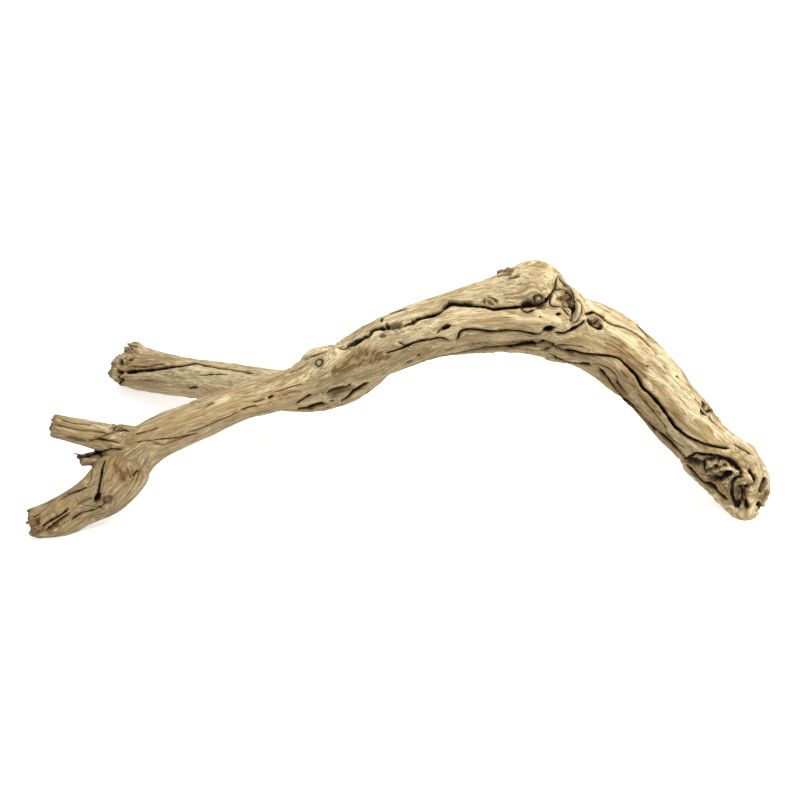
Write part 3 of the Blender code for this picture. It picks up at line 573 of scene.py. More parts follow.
def stem_mesh(verts, faces, marks, name, seed, first_blunt, last_blunt, places):
    """Adds one stem's closed skin, a loft of unlike rings, and marks each of its faces.

    A mark is the stem's name and whether the face is at a broken end.
    """
    path = smooth_path(places, RING_STEP)
    headings, facing, beside = frames(path)
    along = lengths_along(path)
    top = len(path) - 1
    first = [(c, r, 0, 0.0) for c, r in reversed(end_rings(path[0], headings[0], first_blunt, -1))]
    middle = [(p[:3], p[3], i, a) for i, (p, a) in enumerate(zip(path, along))]
    last = [(c, r, top, along[-1]) for c, r in end_rings(path[-1], headings[-1], last_blunt, 1)]
    rings = first + middle + last
    angles = np.arange(RING_POINTS) / RING_POINTS * 2 * math.pi
    base = len(verts)
    for centre, radius, i, at in rings:
        reach = (radius * swell(seed, at, angles))[:, None]
        round_it = np.cos(angles)[:, None] * facing[i] + np.sin(angles)[:, None] * beside[i]
        verts.extend(centre + reach * round_it)
    first_broken = BROKEN_ENDS.get(name) == "first"
    last_broken = BROKEN_ENDS.get(name) == "last"
    for ring in range(len(rings) - 1):
        in_first = ring < len(first)
        in_last = ring >= len(rings) - len(last) - 1
        broken = (first_broken and in_first) or (last_broken and in_last)
        low = base + ring * RING_POINTS
        high = low + RING_POINTS
        for i in range(RING_POINTS):
            j = (i + 1) % RING_POINTS
            faces.append((low + i, low + j, high + j, high + i))
            marks.append((name, broken))
    last_ring = base + (len(rings) - 1) * RING_POINTS
    faces.append(tuple(base + i for i in reversed(range(RING_POINTS))))
    marks.append((name, first_broken))
    faces.append(tuple(last_ring + i for i in range(RING_POINTS)))
    marks.append((name, last_broken))


def fused_stems(verts, faces):
    """All the stems in one fine skin, smooth where they meet, in millimetres."""
    mesh = bpy.data.meshes.new("stems")
    mesh.from_pydata(verts, [], faces)
    obj = new_object("stems", mesh)
    remesh = obj.modifiers.new("fuse", "REMESH")
    remesh.mode = "VOXEL"
    remesh.voxel_size = FUSE_STEP
    smooth = obj.modifiers.new("soften", "SMOOTH")
    smooth.factor = 0.5
    smooth.iterations = 10
    graph = bpy.context.evaluated_depsgraph_get()
    fused = bpy.data.meshes.new_from_object(obj.evaluated_get(graph))
    tree = BVHTree.FromObject(obj, graph)
    bpy.data.objects.remove(obj)
    return fused, tree


def read_vectors(items, field, count):
    found = np.empty(count * 3, np.float32)
    items.foreach_get(field, found)
    return found.reshape(-1, 3).astype(float)


def ripple(places, seed):
    """Smooth gradient noise, about -1 to 1, at each row of an array."""
    draw = np.random.RandomState(seed)
    order = draw.permutation(256)
    slopes = unit(draw.normal(size=(256, 3)))
    cell = np.floor(places).astype(int)
    part = places - cell
    fade = part ** 3 * (part * (part * 6 - 15) + 10)
    total = np.zeros(len(places))
    for corner in np.ndindex(2, 2, 2):
        step = np.array(corner)
        at = (cell + step) & 255
        pick = order[(order[(order[at[:, 0]] + at[:, 1]) & 255] + at[:, 2]) & 255]
        weight = np.prod(np.where(step == 1, fade, 1 - fade), axis=1)
        total += weight * dots(slopes[pick], part - step)
    return total * 1.6


def ripples(places, seeds):
    """Three ripples side by side, to push places about."""
    return np.stack([ripple(places, seed) for seed in seeds], axis=1)


def ease(values, low, high):
    """0 at low, 1 at high, with a soft start and stop."""
    t = np.clip((values - low) / (high - low), 0, 1)
    return t * t * (3 - 2 * t)


def stretched(grain, long, wide):
    return grain / np.array([long, wide, wide])


def finder_of(places):
    """What finds the nearest of some places."""
    finder = KDTree(len(places))
    for i, place in enumerate(places):
        finder.insert(place, i)
    finder.balance()
    return finder


def nearest_rows(finder, queries):
    """The index of the nearest place for each query."""
    return np.array([finder.find(query)[1] for query in queries])


def flow_paths():
    """The middle lines that the grain runs along."""
    front = STEMS["front_branch"][2][:ARCH_FRONT_ROWS]
    paths = {ARCH: front + [ARCH_JOIN] + STEMS["trunk"][2][ARCH_TRUNK_ROW:]}
    for name, (_, _, rows) in STEMS.items():
        if name not in FLOW_OF:
            paths[name] = rows
    return {name: smooth_path(rows, FLOW_STEP) for name, rows in paths.items()}


def grain_of(points, flows):
    """Where each point lies in the grain, along it and twice across it, and the grain's ways."""
    grain = np.zeros_like(points)
    headings = np.zeros_like(points)
    across = np.zeros((len(points), 2, 3))
    for number, (name, path) in enumerate(sorted(flow_paths().items())):
        mine = np.flatnonzero(flows == name)
        if not len(mine):
            continue
        heads, facing, beside = frames(path)
        near = nearest_rows(finder_of(path[:, :3]), points[mine])
        away = points[mine] - path[near, :3]
        s = lengths_along(path)[near] + dots(away, heads[near])
        a = dots(away, facing[near])
        b = dots(away, beside[near])
        turn = GRAIN_TWIST * s + 0.25 * np.sin(s / 47.0 + number)
        cos, sin = np.cos(turn), np.sin(turn)
        grain[mine] = np.stack([s + FLOWS_APART * number, a * cos - b * sin, a * sin + b * cos], axis=1)
        headings[mine] = heads[near]
        cos, sin = cos[:, None], sin[:, None]
        across[mine, 0] = facing[near] * cos - beside[near] * sin
        across[mine, 1] = facing[near] * sin + beside[near] * cos
    return grain, headings, across


def seen_point(tree, across, up):
    """The place on the skin that shows at mm across and up from the middle of the view."""
    aim = SIGHT * SIGHT_DISTANCE + SIGHT_ACROSS * across + SIGHT_UP * up
    return tree.ray_cast(EYE, aim.normalized())[0]


def seen_line(tree, drawn, step):
    """A drawn line's places on the skin, about a step apart."""
    rows = smooth_path(np.reshape(drawn, (-1, 2)), step)
    places = [seen_point(tree, across, up) for across, up in rows]
    return [np.array(p) for p in places if p is not None]


def split_runs(line, gap):
    """Cuts a line where it jumps from one stem to another behind it."""
    runs = [list(line[:1])]
    for before, place in zip(line, line[1:]):
        if np.linalg.norm(place - before) > gap:
            runs.append([])
        runs[-1].append(place)
    return [np.array(run) for run in runs if len(run) > 2]


def line_distance(points, line, reach):
    """How far each point within reach of a line is from it. The rest are taken as very far."""
    low = np.min(line, axis=0) - reach
    high = np.max(line, axis=0) + reach
    near = np.flatnonzero(np.all((points > low) & (points < high), axis=1))
    some = points[near]
    nearest = np.full(len(near), FAR_AWAY)
    for a, b in zip(line, line[1:]):
        run = b - a
        t = np.clip((some - a) @ run / max(float(run @ run), 1e-9), 0, 1)
        nearest = np.minimum(nearest, np.linalg.norm(some - a - t[:, None] * run, axis=1))
    distance = np.full(len(points), FAR_AWAY)
    distance[near] = nearest
    return distance


def spots(points, tree, rows):
    """Each drawn spot that shows, with how far each point is from its middle, in its radii."""
    for spot in rows:
        across, up, long, short, turn = spot[:5]
        middle = seen_point(tree, across, up)
        if middle is None:
            continue
        away = points - np.array(middle)
        x = away @ np.array(SIGHT_ACROSS)
        y = away @ np.array(SIGHT_UP)
        cos, sin = math.cos(math.radians(turn)), math.sin(math.radians(turn))
        x, y = x * cos + y * sin, y * cos - x * sin
        share = np.hypot(x / long, y / short)
        share[np.abs(away @ SIGHT_ROW) > 1.6 * max(long, short) + 2] = 99.0
        yield spot, share


class Crack:
    """A line on the skin with a half width and a depth, tapered at both ends."""

    def __init__(self, line, half, deep, seed, tree=None):
        drawn = tree is not None
        path = smooth_path(line, LINE_STEP) if len(line) > 2 else line
        self.places = path
        self.headings = unit(np.gradient(path, axis=0))
        if drawn:
            normals = np.array([tree.find_nearest(place)[1] for place in path])
            beside = unit(np.cross(normals, self.headings))
            shown = np.sqrt(np.clip(1 - (beside @ SIGHT_ROW) ** 2, 0, 1))
            half = DRAWN_WIDER * half / np.maximum(shown, 0.45)
        t = np.linspace(0, 1, len(path))
        taper = np.clip(np.minimum(t, 1 - t) * (9.0 if drawn else 5.0), 0, 1) ** 0.6
        at = lengths_along(path)
        knocks = np.stack([at / (9.0 if drawn else 14.0), at * 0, at * 0 + seed * 7.3], axis=1)
        vary = 1 + 0.35 * ripple(knocks, 5) + 0.2 * ripple(knocks * 3.1, 6)
        self.half = half * taper * np.clip(vary, 0.75 if drawn else 0.3, 2.0)
        self.deep = deep * taper * np.clip(vary, 0.5, 1.6)


def drawn_cracks(tree):
    """The cracks that show, each cut where it passes behind a stem."""
    return [
        Crack(run, half, deep, number, tree)
        for number, (half, deep, drawn) in enumerate(CRACKS)
        for run in split_runs(seen_line(tree, drawn, 2.0), RUN_GAP)
    ]


def traced(tree, finder, headings, start, length, drift):
    """A line on the skin that follows the grain from a start, turned a little from it."""
    place = Vector(start)
    line = [start]
    last = None
    for _ in range(int(length / TRACE_STEP)):
        heading = Vector(headings[finder.find(place)[1]])
        if last is not None and heading.dot(last) < 0.2:
            break
        _, normal, _, _ = tree.find_nearest(place)
        step = heading + normal.cross(heading) * drift
        place = tree.find_nearest(place + step.normalized() * TRACE_STEP)[0]
        line.append(np.array(place))
        last = heading
    return np.array(line)


def with_cracks_elsewhere(cracks, draw, tree, finder, points, headings, turned):
    """Adds long and short cracks that follow the grain, clear of the others where they start."""
    cracks = list(cracks)
    taken = np.vstack([c.places for c in cracks])
    for how_many, length, half, deep, least_turned in CRACKS_ELSEWHERE:
        made = 0
        while made < how_many:
            pick = draw.randrange(len(points))
            start = points[pick]
            beside_one = np.min(np.linalg.norm(taken - start, axis=1)) < CRACKS_APART
            if beside_one or turned[pick] < least_turned:
                continue
            made += 1
            reach, drift = draw.uniform(*length), draw.uniform(-DRIFT, DRIFT)
            line = traced(tree, finder, headings, start, reach, drift)
            if len(line) > 4:
                cracks.append(Crack(line, draw.uniform(*half), draw.uniform(*deep), 100 + len(cracks)))
                taken = np.vstack([taken, line])
    return cracks


def nearest_crack(points, normals, every, numbers):
    """Where each point lies beside the nearest of some cracks, and that crack's size there."""
    cracks = [every[i] for i in numbers]
    places = np.vstack([c.places for c in cracks])
    headings = np.vstack([c.headings for c in cracks])
    half = np.concatenate([c.half for c in cracks])
    deep = np.concatenate([c.deep for c in cracks])
    owner = np.concatenate([np.full(len(every[i].places), i) for i in numbers])
    near = nearest_rows(finder_of(places), points)
    away = points - places[near]
    beside = unit(np.cross(normals, headings[near]))
    along = np.abs(dots(away, headings[near]))
    return {
        "signed": dots(away, beside), "past": np.maximum(along - LINE_STEP / 2, 0),
        "half": half[near], "deep": deep[near], "beside": beside, "owner": owner[near],
        "far": np.linalg.norm(away, axis=1), "row": near,
    }


def crack_field(points, normals, cracks):
    """For each point, the crack whose edge is nearest. Cracks that overlap are in unlike groups."""
    waver = 0.28 * ripple(points / 5.0, 15) + 0.12 * ripple(points / 1.9, 16)
    best = None
    for group in range(CRACK_GROUPS):
        other = nearest_crack(points, normals, cracks, range(group, len(cracks), CRACK_GROUPS))
        other["signed"] += waver
        other["plain"] = np.hypot(other["signed"], other["past"])
        if best is None:
            best = other
            continue
        closer = other["plain"] - other["half"] < best["plain"] - best["half"]
        for key, values in best.items():
            pick = closer[:, None] if values.ndim == 2 else closer
            best[key] = np.where(pick, other[key], values)
    return best


def push_round(grain, across, headings, near, away, radius):
    """Bends the grain's lines round a knot, as water flows round a post."""
    side = np.einsum("ikj,ij->ik", across[near], away[near])
    along = dots(headings[near], away[near])
    square = np.maximum((side ** 2).sum(axis=1) + along ** 2, radius ** 2)
    grain[near, 1:] -= side * (radius ** 2 / square * 0.95)[:, None]


def set_knots(points, tree, grain, across, headings, turned, draw, uneven):
    """Bends the grain round the knots, the drawn ones and then some behind.

    Returns how far each point is from its nearest knot, in radii, and that knot's height.
    """
    knot_share = np.full(len(points), 9.0)
    knot_height = np.zeros(len(points))

    def set_one(share, height):
        closer = share < knot_share
        knot_share[closer] = share[closer]
        knot_height[closer] = height

    for spot, share in spots(points, tree, KNOTS):
        set_one(share * uneven, spot[5])
        radius = 0.5 * (spot[2] + spot[3])
        away = points - np.array(seen_point(tree, spot[0], spot[1]))
        near = np.linalg.norm(away, axis=1) < KNOT_REACH * radius
        push_round(grain, across, headings, near, away, radius)
    how_many, radii = HIDDEN_KNOTS
    behind = np.flatnonzero(turned > 0.0)
    for _ in range(how_many):
        middle = points[behind[draw.randrange(len(behind))]]
        radius = draw.uniform(*radii)
        away = points - middle
        share = np.linalg.norm(away, axis=1) / radius * uneven
        push_round(grain, across, headings, share < KNOT_REACH, away, radius)
        set_one(share, draw.uniform(0.3, 1.2))
    return knot_share, knot_height


def slow_mean(rows, reach):
    """Each row's mean with those within reach of it."""
    padded = np.pad(rows, ((reach + 1, reach), (0, 0)), mode="edge")
    total = np.cumsum(padded, axis=0)
    return (total[2 * reach + 1:] - total[:-2 * reach - 1]) / (2 * reach + 1)


def guide_grain(grain, across, finder, drawn, guide):
    """Makes the grain run beside the cracks that show."""
    labels = grain[:, 1:].copy()
    places = [c.places for c in drawn]
    on_lines = labels[nearest_rows(finder, np.vstack(places))]
    cuts = np.cumsum([len(rows) for rows in places])[:-1]
    levels = np.vstack([slow_mean(rows, GUIDE_MEAN) for rows in np.split(on_lines, cuts)])
    beside = np.einsum("ikj,ij->ik", across, guide["beside"])
    wanted = levels[guide["row"]] + guide["signed"][:, None] * beside
    pull = np.exp(-(guide["far"] / GUIDE_REACH) ** 2)[:, None]
    grain[:, 1:] = labels * (1 - pull) + wanted * pull


def furrowed(points, grain):
    """The height of the furrows and ridges along the grain, and how hollow each point is."""
    height = np.zeros(len(points))
    hollow = np.zeros(len(points))
    for number, (high, long, wide, sharp) in enumerate(FURROWS):
        wave = ripple(stretched(grain, long, wide), 30 + number)
        crease = 1 - np.clip(np.abs(wave) * 3.2, 0, 1)
        some = ease(ripple(stretched(grain, long * 0.7, wide * 3), 40 + number), -0.35, 0.45)
        height += high * (wave * (1 - 0.5 * sharp) - sharp * some * crease ** 2 * 0.9)
        hollow = np.maximum(hollow, some * sharp * crease ** 2 * (0.5 + 0.5 * high / 1.5))
    return height + 0.5 * ripple(points / 11.0, 50), hollow


def gnarled(points, tree, height, hollow):
    """Near the gnarls, the furrows give way to folds that run every way."""
    gnarl = np.zeros(len(points))
    folds = np.zeros(len(points))
    for across_view, up_view, reach, high in GNARLS:
        middle = seen_point(tree, across_view, up_view)
        near = np.exp(-(np.linalg.norm(points - np.array(middle), axis=1) / reach) ** 4)
        folds = np.where(near > gnarl, high, folds)
        gnarl = np.maximum(gnarl, near)
    twisted = points + 2.5 * ripples(points / 9.0, (51, 52, 53))
    big = ripple(twisted / np.array([9.0, 9.0, 6.0]), 55)
    small = ripple(twisted / np.array([4.2, 4.2, 3.0]), 56)
    fold_height = folds * (np.abs(big) * 2.2 - 0.75 + 0.5 * (np.abs(small) * 2.0 - 0.7))
    fold_crease = np.maximum(1 - np.abs(big) * 7.0, 0.6 - np.abs(small) * 5.0)
    hollow = np.maximum(hollow * (1 - gnarl), gnarl * np.clip(fold_crease * 1.3, 0, 1))
    return gnarl, height + gnarl * (fold_height - 0.5 * height), hollow


def torn_ends(grain, ends, outwards):
    """How far the broken ends' points move along the stem: rough plates and fibres."""
    rough = ripple(stretched(grain, 40.0, 2.6), 60) * 1.6 + ripple(stretched(grain, 20.0, 1.3), 61)
    plates = np.round(ripple(stretched(grain, 90.0, 6.0), 62) * 3.0 + 0.3) * 2.2
    return outwards * (ends * (rough + plates))[:, None]


def cut_cracks(field, drawn, normals, turned, height):
    """Gives the cracks a soft valley and lips, in the height, and returns the slot's own cut."""
    half = np.maximum(field["half"], FINEST_SLOT)
    share = field["plain"] / half
    shallow = np.clip(field["half"] / FINEST_SLOT, 0, 1) ** 1.3
    slot = field["deep"] * shallow * np.clip(1 - share ** 2.2, 0, 1)
    thick = np.clip(field["half"] / 1.1, 0.15, 1.4)
    valley = VALLEY_DEEP * thick * np.exp(-(field["plain"] / VALLEY_WIDE) ** 2)
    lean = 1 + 0.7 * np.sign(field["signed"]) * np.where(field["owner"] % 2 == 0, 1, -1)
    lips = LIP_HIGH * thick * lean * np.exp(-((field["plain"] - half - 1.3) / 1.1) ** 2)
    lips = np.where(drawn, lips * ease(np.clip(-turned, 0, 1), 0.45, 0.85), lips)
    height *= 1 - 0.6 * np.exp(-(field["plain"] / 1.5) ** 2)
    height += lips - valley
    inwards = unit(-normals + np.where(drawn, 1.0, 0.0)[:, None] * SIGHT_ROW)
    return inwards * slot[:, None]


def dig_and_raise(points, tree, uneven, height):
    """Digs the hollows and holes and raises the strands and lumps. Returns how dark the finish paints
    them: painted shade, with some dirt in the hollows.
    """
    dark = np.zeros(len(points))
    for spot, share in spots(points, tree, HOLLOWS):
        floor = 1 - ease(share * uneven, 0.45, 1.2)
        height -= spot[5] * floor
        dark = np.maximum(dark, spot[6] * floor)
    for half_wide, high, drawn in RIDGES:
        line = seen_line(tree, drawn, 1.5)
        away = line_distance(points, line, 3 * half_wide) / half_wide
        height += high * np.exp(-(away ** 2) * 1.1)
        dark *= 1 - ease(1.15 - away, 0.0, 0.5)
    for spot, share in spots(points, tree, LUMPS):
        height += spot[5] * np.exp(-(share ** 2) * 1.2)
        dark *= 1 - 0.9 * ease(1.1 - share, 0.0, 0.45)
    ragged = 0.18 * ripple(points / 1.8, 70)
    for spot, share in spots(points, tree, HOLES):
        share = share + ragged
        height -= spot[5] * np.sqrt(np.clip(1 - share ** 2, 0, 1))
        dark = np.maximum(dark, 1 - ease(share, 0.75, 1.15))
    return dark


def stained(points, tree, grain):
    """How brown each point is with stain, by patches that follow the grain."""
    stain = np.zeros(len(points))
    blotch = ripple(stretched(grain, 9.0, 4.0), 80) + 0.5 * ripple(stretched(grain, 4.0, 1.8), 81)
    for half_wide, strength, drawn in STAINS:
        line = seen_line(tree, drawn, 3.0)
        if len(line) > 1:
            away = line_distance(points, line, 2.6 * half_wide) / half_wide + 0.45 * blotch
            stain = np.maximum(stain, strength * (1 - ease(away, 0.3, 1.15)))
    return stain


def weathered(mesh, tree, marks, loft):
    """Moves the skin's points, stores what the finish reads and returns how fine each point is."""
    points = read_vectors(mesh.vertices, "co", len(mesh.vertices))
    normals = read_vectors(mesh.vertex_normals, "vector", len(mesh.vertices))
    turned = normals @ SIGHT_ROW
    hits = [loft.find_nearest(p)[2] for p in points]
    names = np.array([marks[i][0] for i in hits])
    ends = np.array([marks[i][1] for i in hits], float)
    flows = np.array([FLOW_OF.get(name, name) for name in names])
    grain, headings, across = grain_of(points, flows)
    outwards = headings * np.sign(dots(headings, normals))[:, None]
    headings = unit(headings - normals * dots(headings, normals)[:, None])
    finder = finder_of(points)
    draw = random.Random(RANDOM_SEED)

    shown = drawn_cracks(tree)
    cracks = with_cracks_elsewhere(shown, draw, tree, finder, points, headings, turned)
    field = crack_field(points, normals, cracks)
    guide = nearest_crack(points, normals, cracks, range(len(shown)))
    drawn = field["owner"] < len(shown)

    uneven = 1 + 0.16 * ripple(points / 3.2, 71) + 0.08 * ripple(points / 1.5, 72)
    knot_share, knot_height = set_knots(
        points, tree, grain, across, headings, turned, draw, uneven)
    guide_grain(grain, across, finder, shown, guide)
    grain = grain + ripples(points / 45.0, (21, 22, 23)) * np.array([8.0, 2.2, 2.2])

    height, hollow = furrowed(points, grain)
    gnarl, height, hollow = gnarled(points, tree, height, hollow)
    relief = height.copy()
    torn = torn_ends(grain, ends, outwards)
    cut = cut_cracks(field, drawn, normals, turned, height)

    # A ring groove round a raised heart.
    groove = np.exp(-((knot_share - 0.85) / 0.25) ** 2)
    heart = np.clip(1 - (knot_share / 0.6) ** 2, 0, 1)
    collar = np.exp(-((knot_share - 1.6) / 0.5) ** 2)
    height += knot_height * (heart * 0.9 - groove * 1.1 + collar * 0.7)
    dark = dig_and_raise(points, tree, uneven, height)

    # Points beside a crack's middle slide onto it, so that the slot's floor is a clean line.
    beside_middle = (np.abs(field["signed"]) < 0.42 * FUSE_STEP) & (field["plain"] < FUSE_STEP)
    slide = np.where(beside_middle, field["signed"], 0.0)
    moved = points + normals * height[:, None] + cut + torn - field["beside"] * slide[:, None]
    moved[:, 2] = np.maximum(moved[:, 2], 0.0)
    mesh.vertices.foreach_set("co", (moved * MM).astype(np.float32).ravel())

    # How much each point faces the sky: the finish paints it paler there and darker underneath, partly
    # sun bleaching and partly painted light and painted shade.
    bleach_and_painted_light = ease(normals[:, 2] + 0.25 * ripple(points / 30.0, 90), -0.95, 0.75)
    # How far towards the left foot, where the finish paints shade as if the key light fell off.
    left = -points[:, 0] - 0.25 * points[:, 1]
    left_painted_shade = ease(left, *LEFT_SHADE_FROM_TO) * (1 + 0.3 * ripple(points / 25.0, 91))
    stored = {
        "grain": grain,
        "split": np.stack([field["signed"], field["plain"], field["half"]], axis=1),
        # The stain is the wood's own colour; hollow and dark set painted shade in creases, hollows and
        # holes.
        "mark": np.stack([stained(points, tree, grain), hollow, dark], axis=1),
        "knot_end_and_shade": np.stack([np.minimum(knot_share, 4), ends, left_painted_shade], axis=1),
        "tone": np.stack([relief, bleach_and_painted_light, gnarl], axis=1),
    }
    for name, values in stored.items():
        layer = mesh.attributes.new(name, "FLOAT_VECTOR", "POINT")
        layer.data.foreach_set("vector", values.astype(np.float32).ravel())
    mesh.update()
    by_crack = np.where(drawn, np.exp(-(field["plain"] / 4.0) ** 2), 0.0)
    detail = np.maximum.reduce([by_crack, gnarl * 0.8, dark, 1 - ease(knot_share, 1.5, 2.5)])
    return np.where(turned < 0.1, detail, 0.5 * detail)


class Wire:
    """One value of a shader. Python's operators on it add Math nodes."""

    def __init__(self, nodes, socket):
        self.nodes = nodes
        self.socket = socket

    def math(self, operation, *values):
        return self.nodes.node("ShaderNodeMath", {"operation": operation}, dict(enumerate(values)))

    def __add__(self, other):
        return self.math("ADD", self, other)

    __radd__ = __add__

    def __sub__(self, other):
        return self.math("SUBTRACT", self, other)

    def __rsub__(self, other):
        return self.math("SUBTRACT", other, self)

    def __mul__(self, other):
        return self.math("MULTIPLY", self, other)

    __rmul__ = __mul__

    def __abs__(self):
        return self.math("ABSOLUTE", self)

    def most(self, other):
        return self.math("MAXIMUM", self, other)

    def sine(self):
        return self.math("SINE", self)

    def eased(self, low, high):
        """0 at low and 1 at high, with a soft start and stop."""
        settings = {"interpolation_type": "SMOOTHSTEP"}
        inputs = {"Value": self, "From Min": low, "From Max": high}
        return self.nodes.node("ShaderNodeMapRange", settings, inputs)


class Nodes:
    """The nodes of a material or of the world."""

    def __init__(self, tree):
        self.tree = tree

    def node(self, kind, settings, inputs, output=0):
        """Adds a node: its settings first, then its sockets. Returns one output."""
        made = self.tree.nodes.new(kind)
        for name, value in settings.items():
            setattr(made, name, value)
        for name, value in inputs.items():
            self.feed(made.inputs[name], value)
        return Wire(self, made.outputs[output])

    def feed(self, socket, value):
        if isinstance(value, Wire):
            self.tree.links.new(value.socket, socket)
        else:
            socket.default_value = value

    def parts(self, vector):
        node = self.node("ShaderNodeSeparateXYZ", {}, {0: vector}).socket.node
        return [Wire(self, node.outputs[i]) for i in range(3)]


class Finish(Nodes):
    """A material whose colour is laid on in thin coats."""

    def __init__(self, name):
        self.material = bpy.data.materials.new(name)
        self.material.use_nodes = True
        super().__init__(self.material.node_tree)
        self.shader = self.tree.nodes["Principled BSDF"]
        self.colour = None

    def attribute(self, name):
        return self.node("ShaderNodeAttribute", {"attribute_name": name}, {}, "Vector")

    def streaks(self, grain, long, wide, shift, detail=2.0, rough=0.55):
        """Noise drawn out along the grain, about 0.5 in the middle."""
        places = self.node("ShaderNodeVectorMath", {"operation": "MULTIPLY_ADD"}, {
            0: grain, 1: (1 / long, 1 / wide, 1 / wide), 2: (shift, shift * 1.7, shift * 2.3)})
        return self.node("ShaderNodeTexNoise", {"noise_dimensions": "3D"}, {
            "Vector": places, "Scale": 1.0, "Detail": detail, "Roughness": rough})

    def mix(self, share, first, second):
        """From the first colour at 0 to the second at 1."""
        settings = {"data_type": "RGBA", "clamp_factor": True}
        return self.node("ShaderNodeMix", settings, {0: share, 6: first, 7: second}, 2)

    def coat(self, share, colour):
        """Lays a colour over the ones below it, by a share from 0 to 1."""
        self.colour = self.mix(share, self.colour, colour)


def wood_finish():
    """Bleached wood: pale streaks along the grain and brown stains, with painted light and painted shade.
    """
    finish = Finish("bleached_wood")
    streaks, coat = finish.streaks, finish.coat
    grain = finish.attribute("grain")
    signed, plain, half = finish.parts(finish.attribute("split"))
    stain, hollow, dark = finish.parts(finish.attribute("mark"))
    ring, end, left_painted_shade = finish.parts(finish.attribute("knot_end_and_shade"))
    relief, bleach_and_painted_light, gnarl = finish.parts(finish.attribute("tone"))

    # The bare wood: painted light makes it paler on high ridges and where it faces the sky (partly sun
    # bleaching too), and painted shade darkens it towards the left foot.
    broad = streaks(grain, 90, 13, 3.1, 3)
    medium = streaks(grain, 60, 4.0, 11.7, 3)
    fine = streaks(grain, 30, 1.25, 5.3, 2)
    hair = streaks(grain, 16, 0.55, 8.9, 1)
    blotches = streaks(grain, 26, 11, 17.1, 4, 0.62)
    patchy = streaks(grain, 14, 2.4, 41.3, 4, 0.65)
    streaked = broad * 0.30 + medium * 0.30 + fine * 0.28 + hair * 0.12
    pale = (streaked + relief * 0.05 + bleach_and_painted_light * 0.10).eased(0.46, 0.62)
    finish.colour = finish.mix(pale, STRAW, CREAM)
    coat(blotches.eased(0.48, 0.66) * 0.6, GREY)
    coat(streaks(grain, 45, 6, 23.3, 4, 0.6).eased(0.52, 0.68) * 0.6, HONEY)
    # Painted shade, with some dirt, in the low places between the furrows.
    coat((relief * -0.8).eased(0.1, 1.4) * 0.6, TAN)
    # Painted shade on the side that faces down.
    coat((1 - bleach_and_painted_light) * 0.12, TAN)
    # Painted shade towards the left foot, as if the key light fell off there.
    coat(left_painted_shade * 0.85, finish.mix(medium.eased(0.42, 0.58), TAN, LEFT_SHADE))

    # Fine lines, threads and pores along the grain.
    line_here = streaks(grain, 45, 7, 37.7, 2).eased(0.42, 0.58)
    line = abs(streaks(grain, 85, 3.0, 31.9, 2) - 0.5)
    lines = (1 - line.eased(0.003, 0.018)) * line_here
    thread_here = streaks(grain, 35, 5, 43.1, 2).eased(0.44, 0.60)
    thread = abs(streaks(grain, 50, 1.5, 47.3, 1) - 0.5)
    threads = (1 - thread.eased(0.005, 0.035)) * thread_here
    coat(lines * 0.85, BROWN)
    coat(threads * 0.8, TAN)
    coat(fine.eased(0.50, 0.64) * 0.6, TAN)
    coat(fine.eased(0.46, 0.36) * 0.5, CREAM)
    coat((hair * 0.6 + medium * 0.4).eased(0.53, 0.66) * 0.35, TAN)
    coat(streaks(grain, 11, 0.9, 53.1, 1).eased(0.58, 0.70) * 0.6, BROWN)

    # Painted shade in the creases and hollows, then gnarls, stains and broken ends.
    coat(hollow.eased(0.1, 0.8) * 0.6, TAN)
    coat(hollow.eased(0.5, 1.0) * 0.75, BROWN)
    coat(gnarl * patchy.eased(0.42, 0.62) * 0.55, TAN)
    uneven_stain = (stain * (0.35 + patchy * 1.3)).eased(0.12, 0.85)
    coat(uneven_stain * 0.9, finish.mix(patchy.eased(0.44, 0.64), HONEY, TAN))
    coat((stain * patchy).eased(0.36, 0.56) * 0.75, BROWN)
    coat(end.eased(0.2, 0.8) * 0.65, finish.mix(patchy.eased(0.40, 0.58), HONEY, BROWN))

    # Knots: rings that fade outwards, and a dark one at the edge.
    uneven_ring = ring + (patchy - 0.5) * 0.35
    swirl = (uneven_ring * 13.0).sine().eased(0.55, 1.0) * (1 - uneven_ring.eased(1.3, 2.8))
    edge = 1 - abs(uneven_ring - 0.82).eased(0.10, 0.42)
    coat((1 - uneven_ring.eased(0.8, 2.2)) * 0.6, TAN)
    coat(swirl * 0.45, BROWN)
    coat(edge * (0.5 + medium.eased(0.36, 0.58) * 0.45), DARK)

    # Splits, brown beside and painted black within as painted shade, then the hollows and holes painted
    # darkest as painted shade.
    past_edge = abs(signed).most(plain - 0.6) + (fine - 0.5) * 0.6 - half
    coat((1 - past_edge.eased(0.1, 2.4)) * half.eased(0.2, 1.0) * 0.55, TAN)
    slot = 1 - past_edge.eased(-0.45, 0.3)
    coat(slot * 0.95, finish.mix(half.eased(0.45, 1.0), BROWN, BLACK))
    # The darkest hollows and holes: painted shade, with some dirt on the hollows' floors.
    darkest = dark + (patchy - 0.5) * 0.5 * dark
    coat(darkest.eased(0.05, 0.5) * 0.85, BROWN)
    coat(darkest.eased(0.45, 0.85) * 0.95, BLACK)

    fibres = fine * 0.6 + hair * 0.4 + medium * 0.4 - lines * 0.35 - threads * 0.2
    bump = finish.node("ShaderNodeBump", {}, {
        "Height": fibres, "Strength": 0.75, "Distance": 0.0016})
    finish.feed(finish.shader.inputs["Base Color"], finish.colour)
    finish.feed(finish.shader.inputs["Roughness"], 0.66 + medium * 0.28)
    finish.feed(finish.shader.inputs["Normal"], bump)
    finish.shader.inputs["Specular IOR Level"].default_value = 0.3
    return finish.material


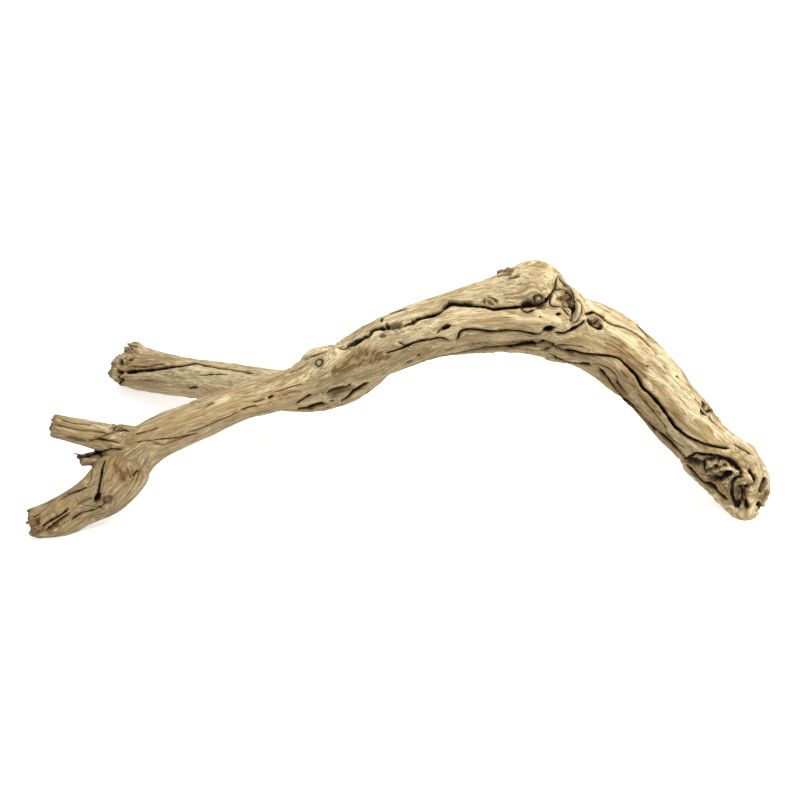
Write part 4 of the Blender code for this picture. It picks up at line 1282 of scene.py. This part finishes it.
def thin_out(piece, detail):
    """Leaves TRIANGLES faces, small ones where the detail is fine."""
    plain = piece.vertex_groups.new(name="plain")
    shares = np.round((1 - detail) * 10).astype(int)
    for share in range(1, 11):
        plain.add(np.flatnonzero(shares == share).tolist(), share / 10, "REPLACE")
    thin = piece.modifiers.new("fewer_faces", "DECIMATE")
    thin.use_collapse_triangulate = True
    thin.vertex_group = "plain"
    thin.vertex_group_factor = KEEP_FINE
    thin.ratio = TRIANGLES / sum(len(p.vertices) - 2 for p in piece.data.polygons)
    graph = bpy.context.evaluated_depsgraph_get()
    thinned = bpy.data.meshes.new_from_object(piece.evaluated_get(graph))
    piece.modifiers.clear()
    piece.data = thinned
    piece.vertex_groups.clear()


def driftwood():
    """The whole piece, from its stems to its finish."""
    verts, faces, marks = [], [], []
    for seed, (name, (first, last, places)) in enumerate(STEMS.items()):
        stem_mesh(verts, faces, marks, name, seed, first, last, places)
    mesh, tree = fused_stems(verts, faces)
    loft = BVHTree.FromPolygons([tuple(v) for v in verts], faces)
    detail = weathered(mesh, tree, marks, loft)
    mesh.name = "driftwood_skin"
    piece = new_object("driftwood_skin", mesh)
    thin_out(piece, detail)
    piece.data.shade_smooth()
    piece.data.materials.clear()
    piece.data.materials.append(wood_finish())
    return piece


def make_camera():
    data = bpy.data.cameras.new("camera")
    data.lens = LENS
    data.sensor_width = SENSOR
    data.clip_start = 0.05
    data.clip_end = 50.0
    camera = new_object("camera", data)
    camera.location = EYE * MM
    camera.rotation_euler = (math.pi / 2 - SIGHT_SLOPE, 0, 0)
    bpy.context.scene.camera = camera


def make_floor():
    """A wide white floor that glows a little, so that it stays white under a soft light."""
    mesh = bpy.data.meshes.new("floor")
    shape = bmesh.new()
    bmesh.ops.create_grid(shape, x_segments=1, y_segments=1, size=FLOOR_REACH)
    shape.to_mesh(mesh)
    shape.free()
    floor = new_object("floor", mesh)
    finish = Finish("floor_white")
    finish.shader.inputs["Base Color"].default_value = (0.8, 0.8, 0.8, 1)
    finish.shader.inputs["Roughness"].default_value = 0.9
    finish.shader.inputs["Emission Color"].default_value = WHITE
    finish.shader.inputs["Emission Strength"].default_value = FLOOR_GLOW
    mesh.materials.append(finish.material)
    floor.visible_diffuse = False


def make_key_light():
    data = bpy.data.lights.new("key", "AREA")
    data.shape = "DISK"
    data.size = KEY_SIZE
    data.energy = KEY_WATTS
    light = new_object("key", data)
    light.location = KEY_PLACE
    aim = Vector(KEY_TARGET) - Vector(KEY_PLACE)
    light.rotation_euler = aim.to_track_quat("-Z", "Y").to_euler()


def make_world():
    """An even white sky, a little stronger low down."""
    world = bpy.data.worlds.new("studio")
    world.use_nodes = True
    sky = Nodes(world.node_tree)
    height = sky.parts(sky.node("ShaderNodeTexCoord", {}, {}, "Generated"))[2]
    strength = sky.node("ShaderNodeMapRange", {}, {
        "Value": height, "From Min": SKY_LOW[0], "From Max": SKY_HIGH[0],
        "To Min": SKY_LOW[1], "To Max": SKY_HIGH[1]})
    background = sky.tree.nodes["Background"]
    background.inputs["Color"].default_value = WHITE
    sky.feed(background.inputs["Strength"], strength)
    bpy.context.scene.world = world


clear_default_objects()
make_camera()
make_floor()
make_key_light()
make_world()
bpy.context.scene.view_settings.view_transform = "Standard"

wood = driftwood()
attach(wood, "root")
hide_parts("driftwood")
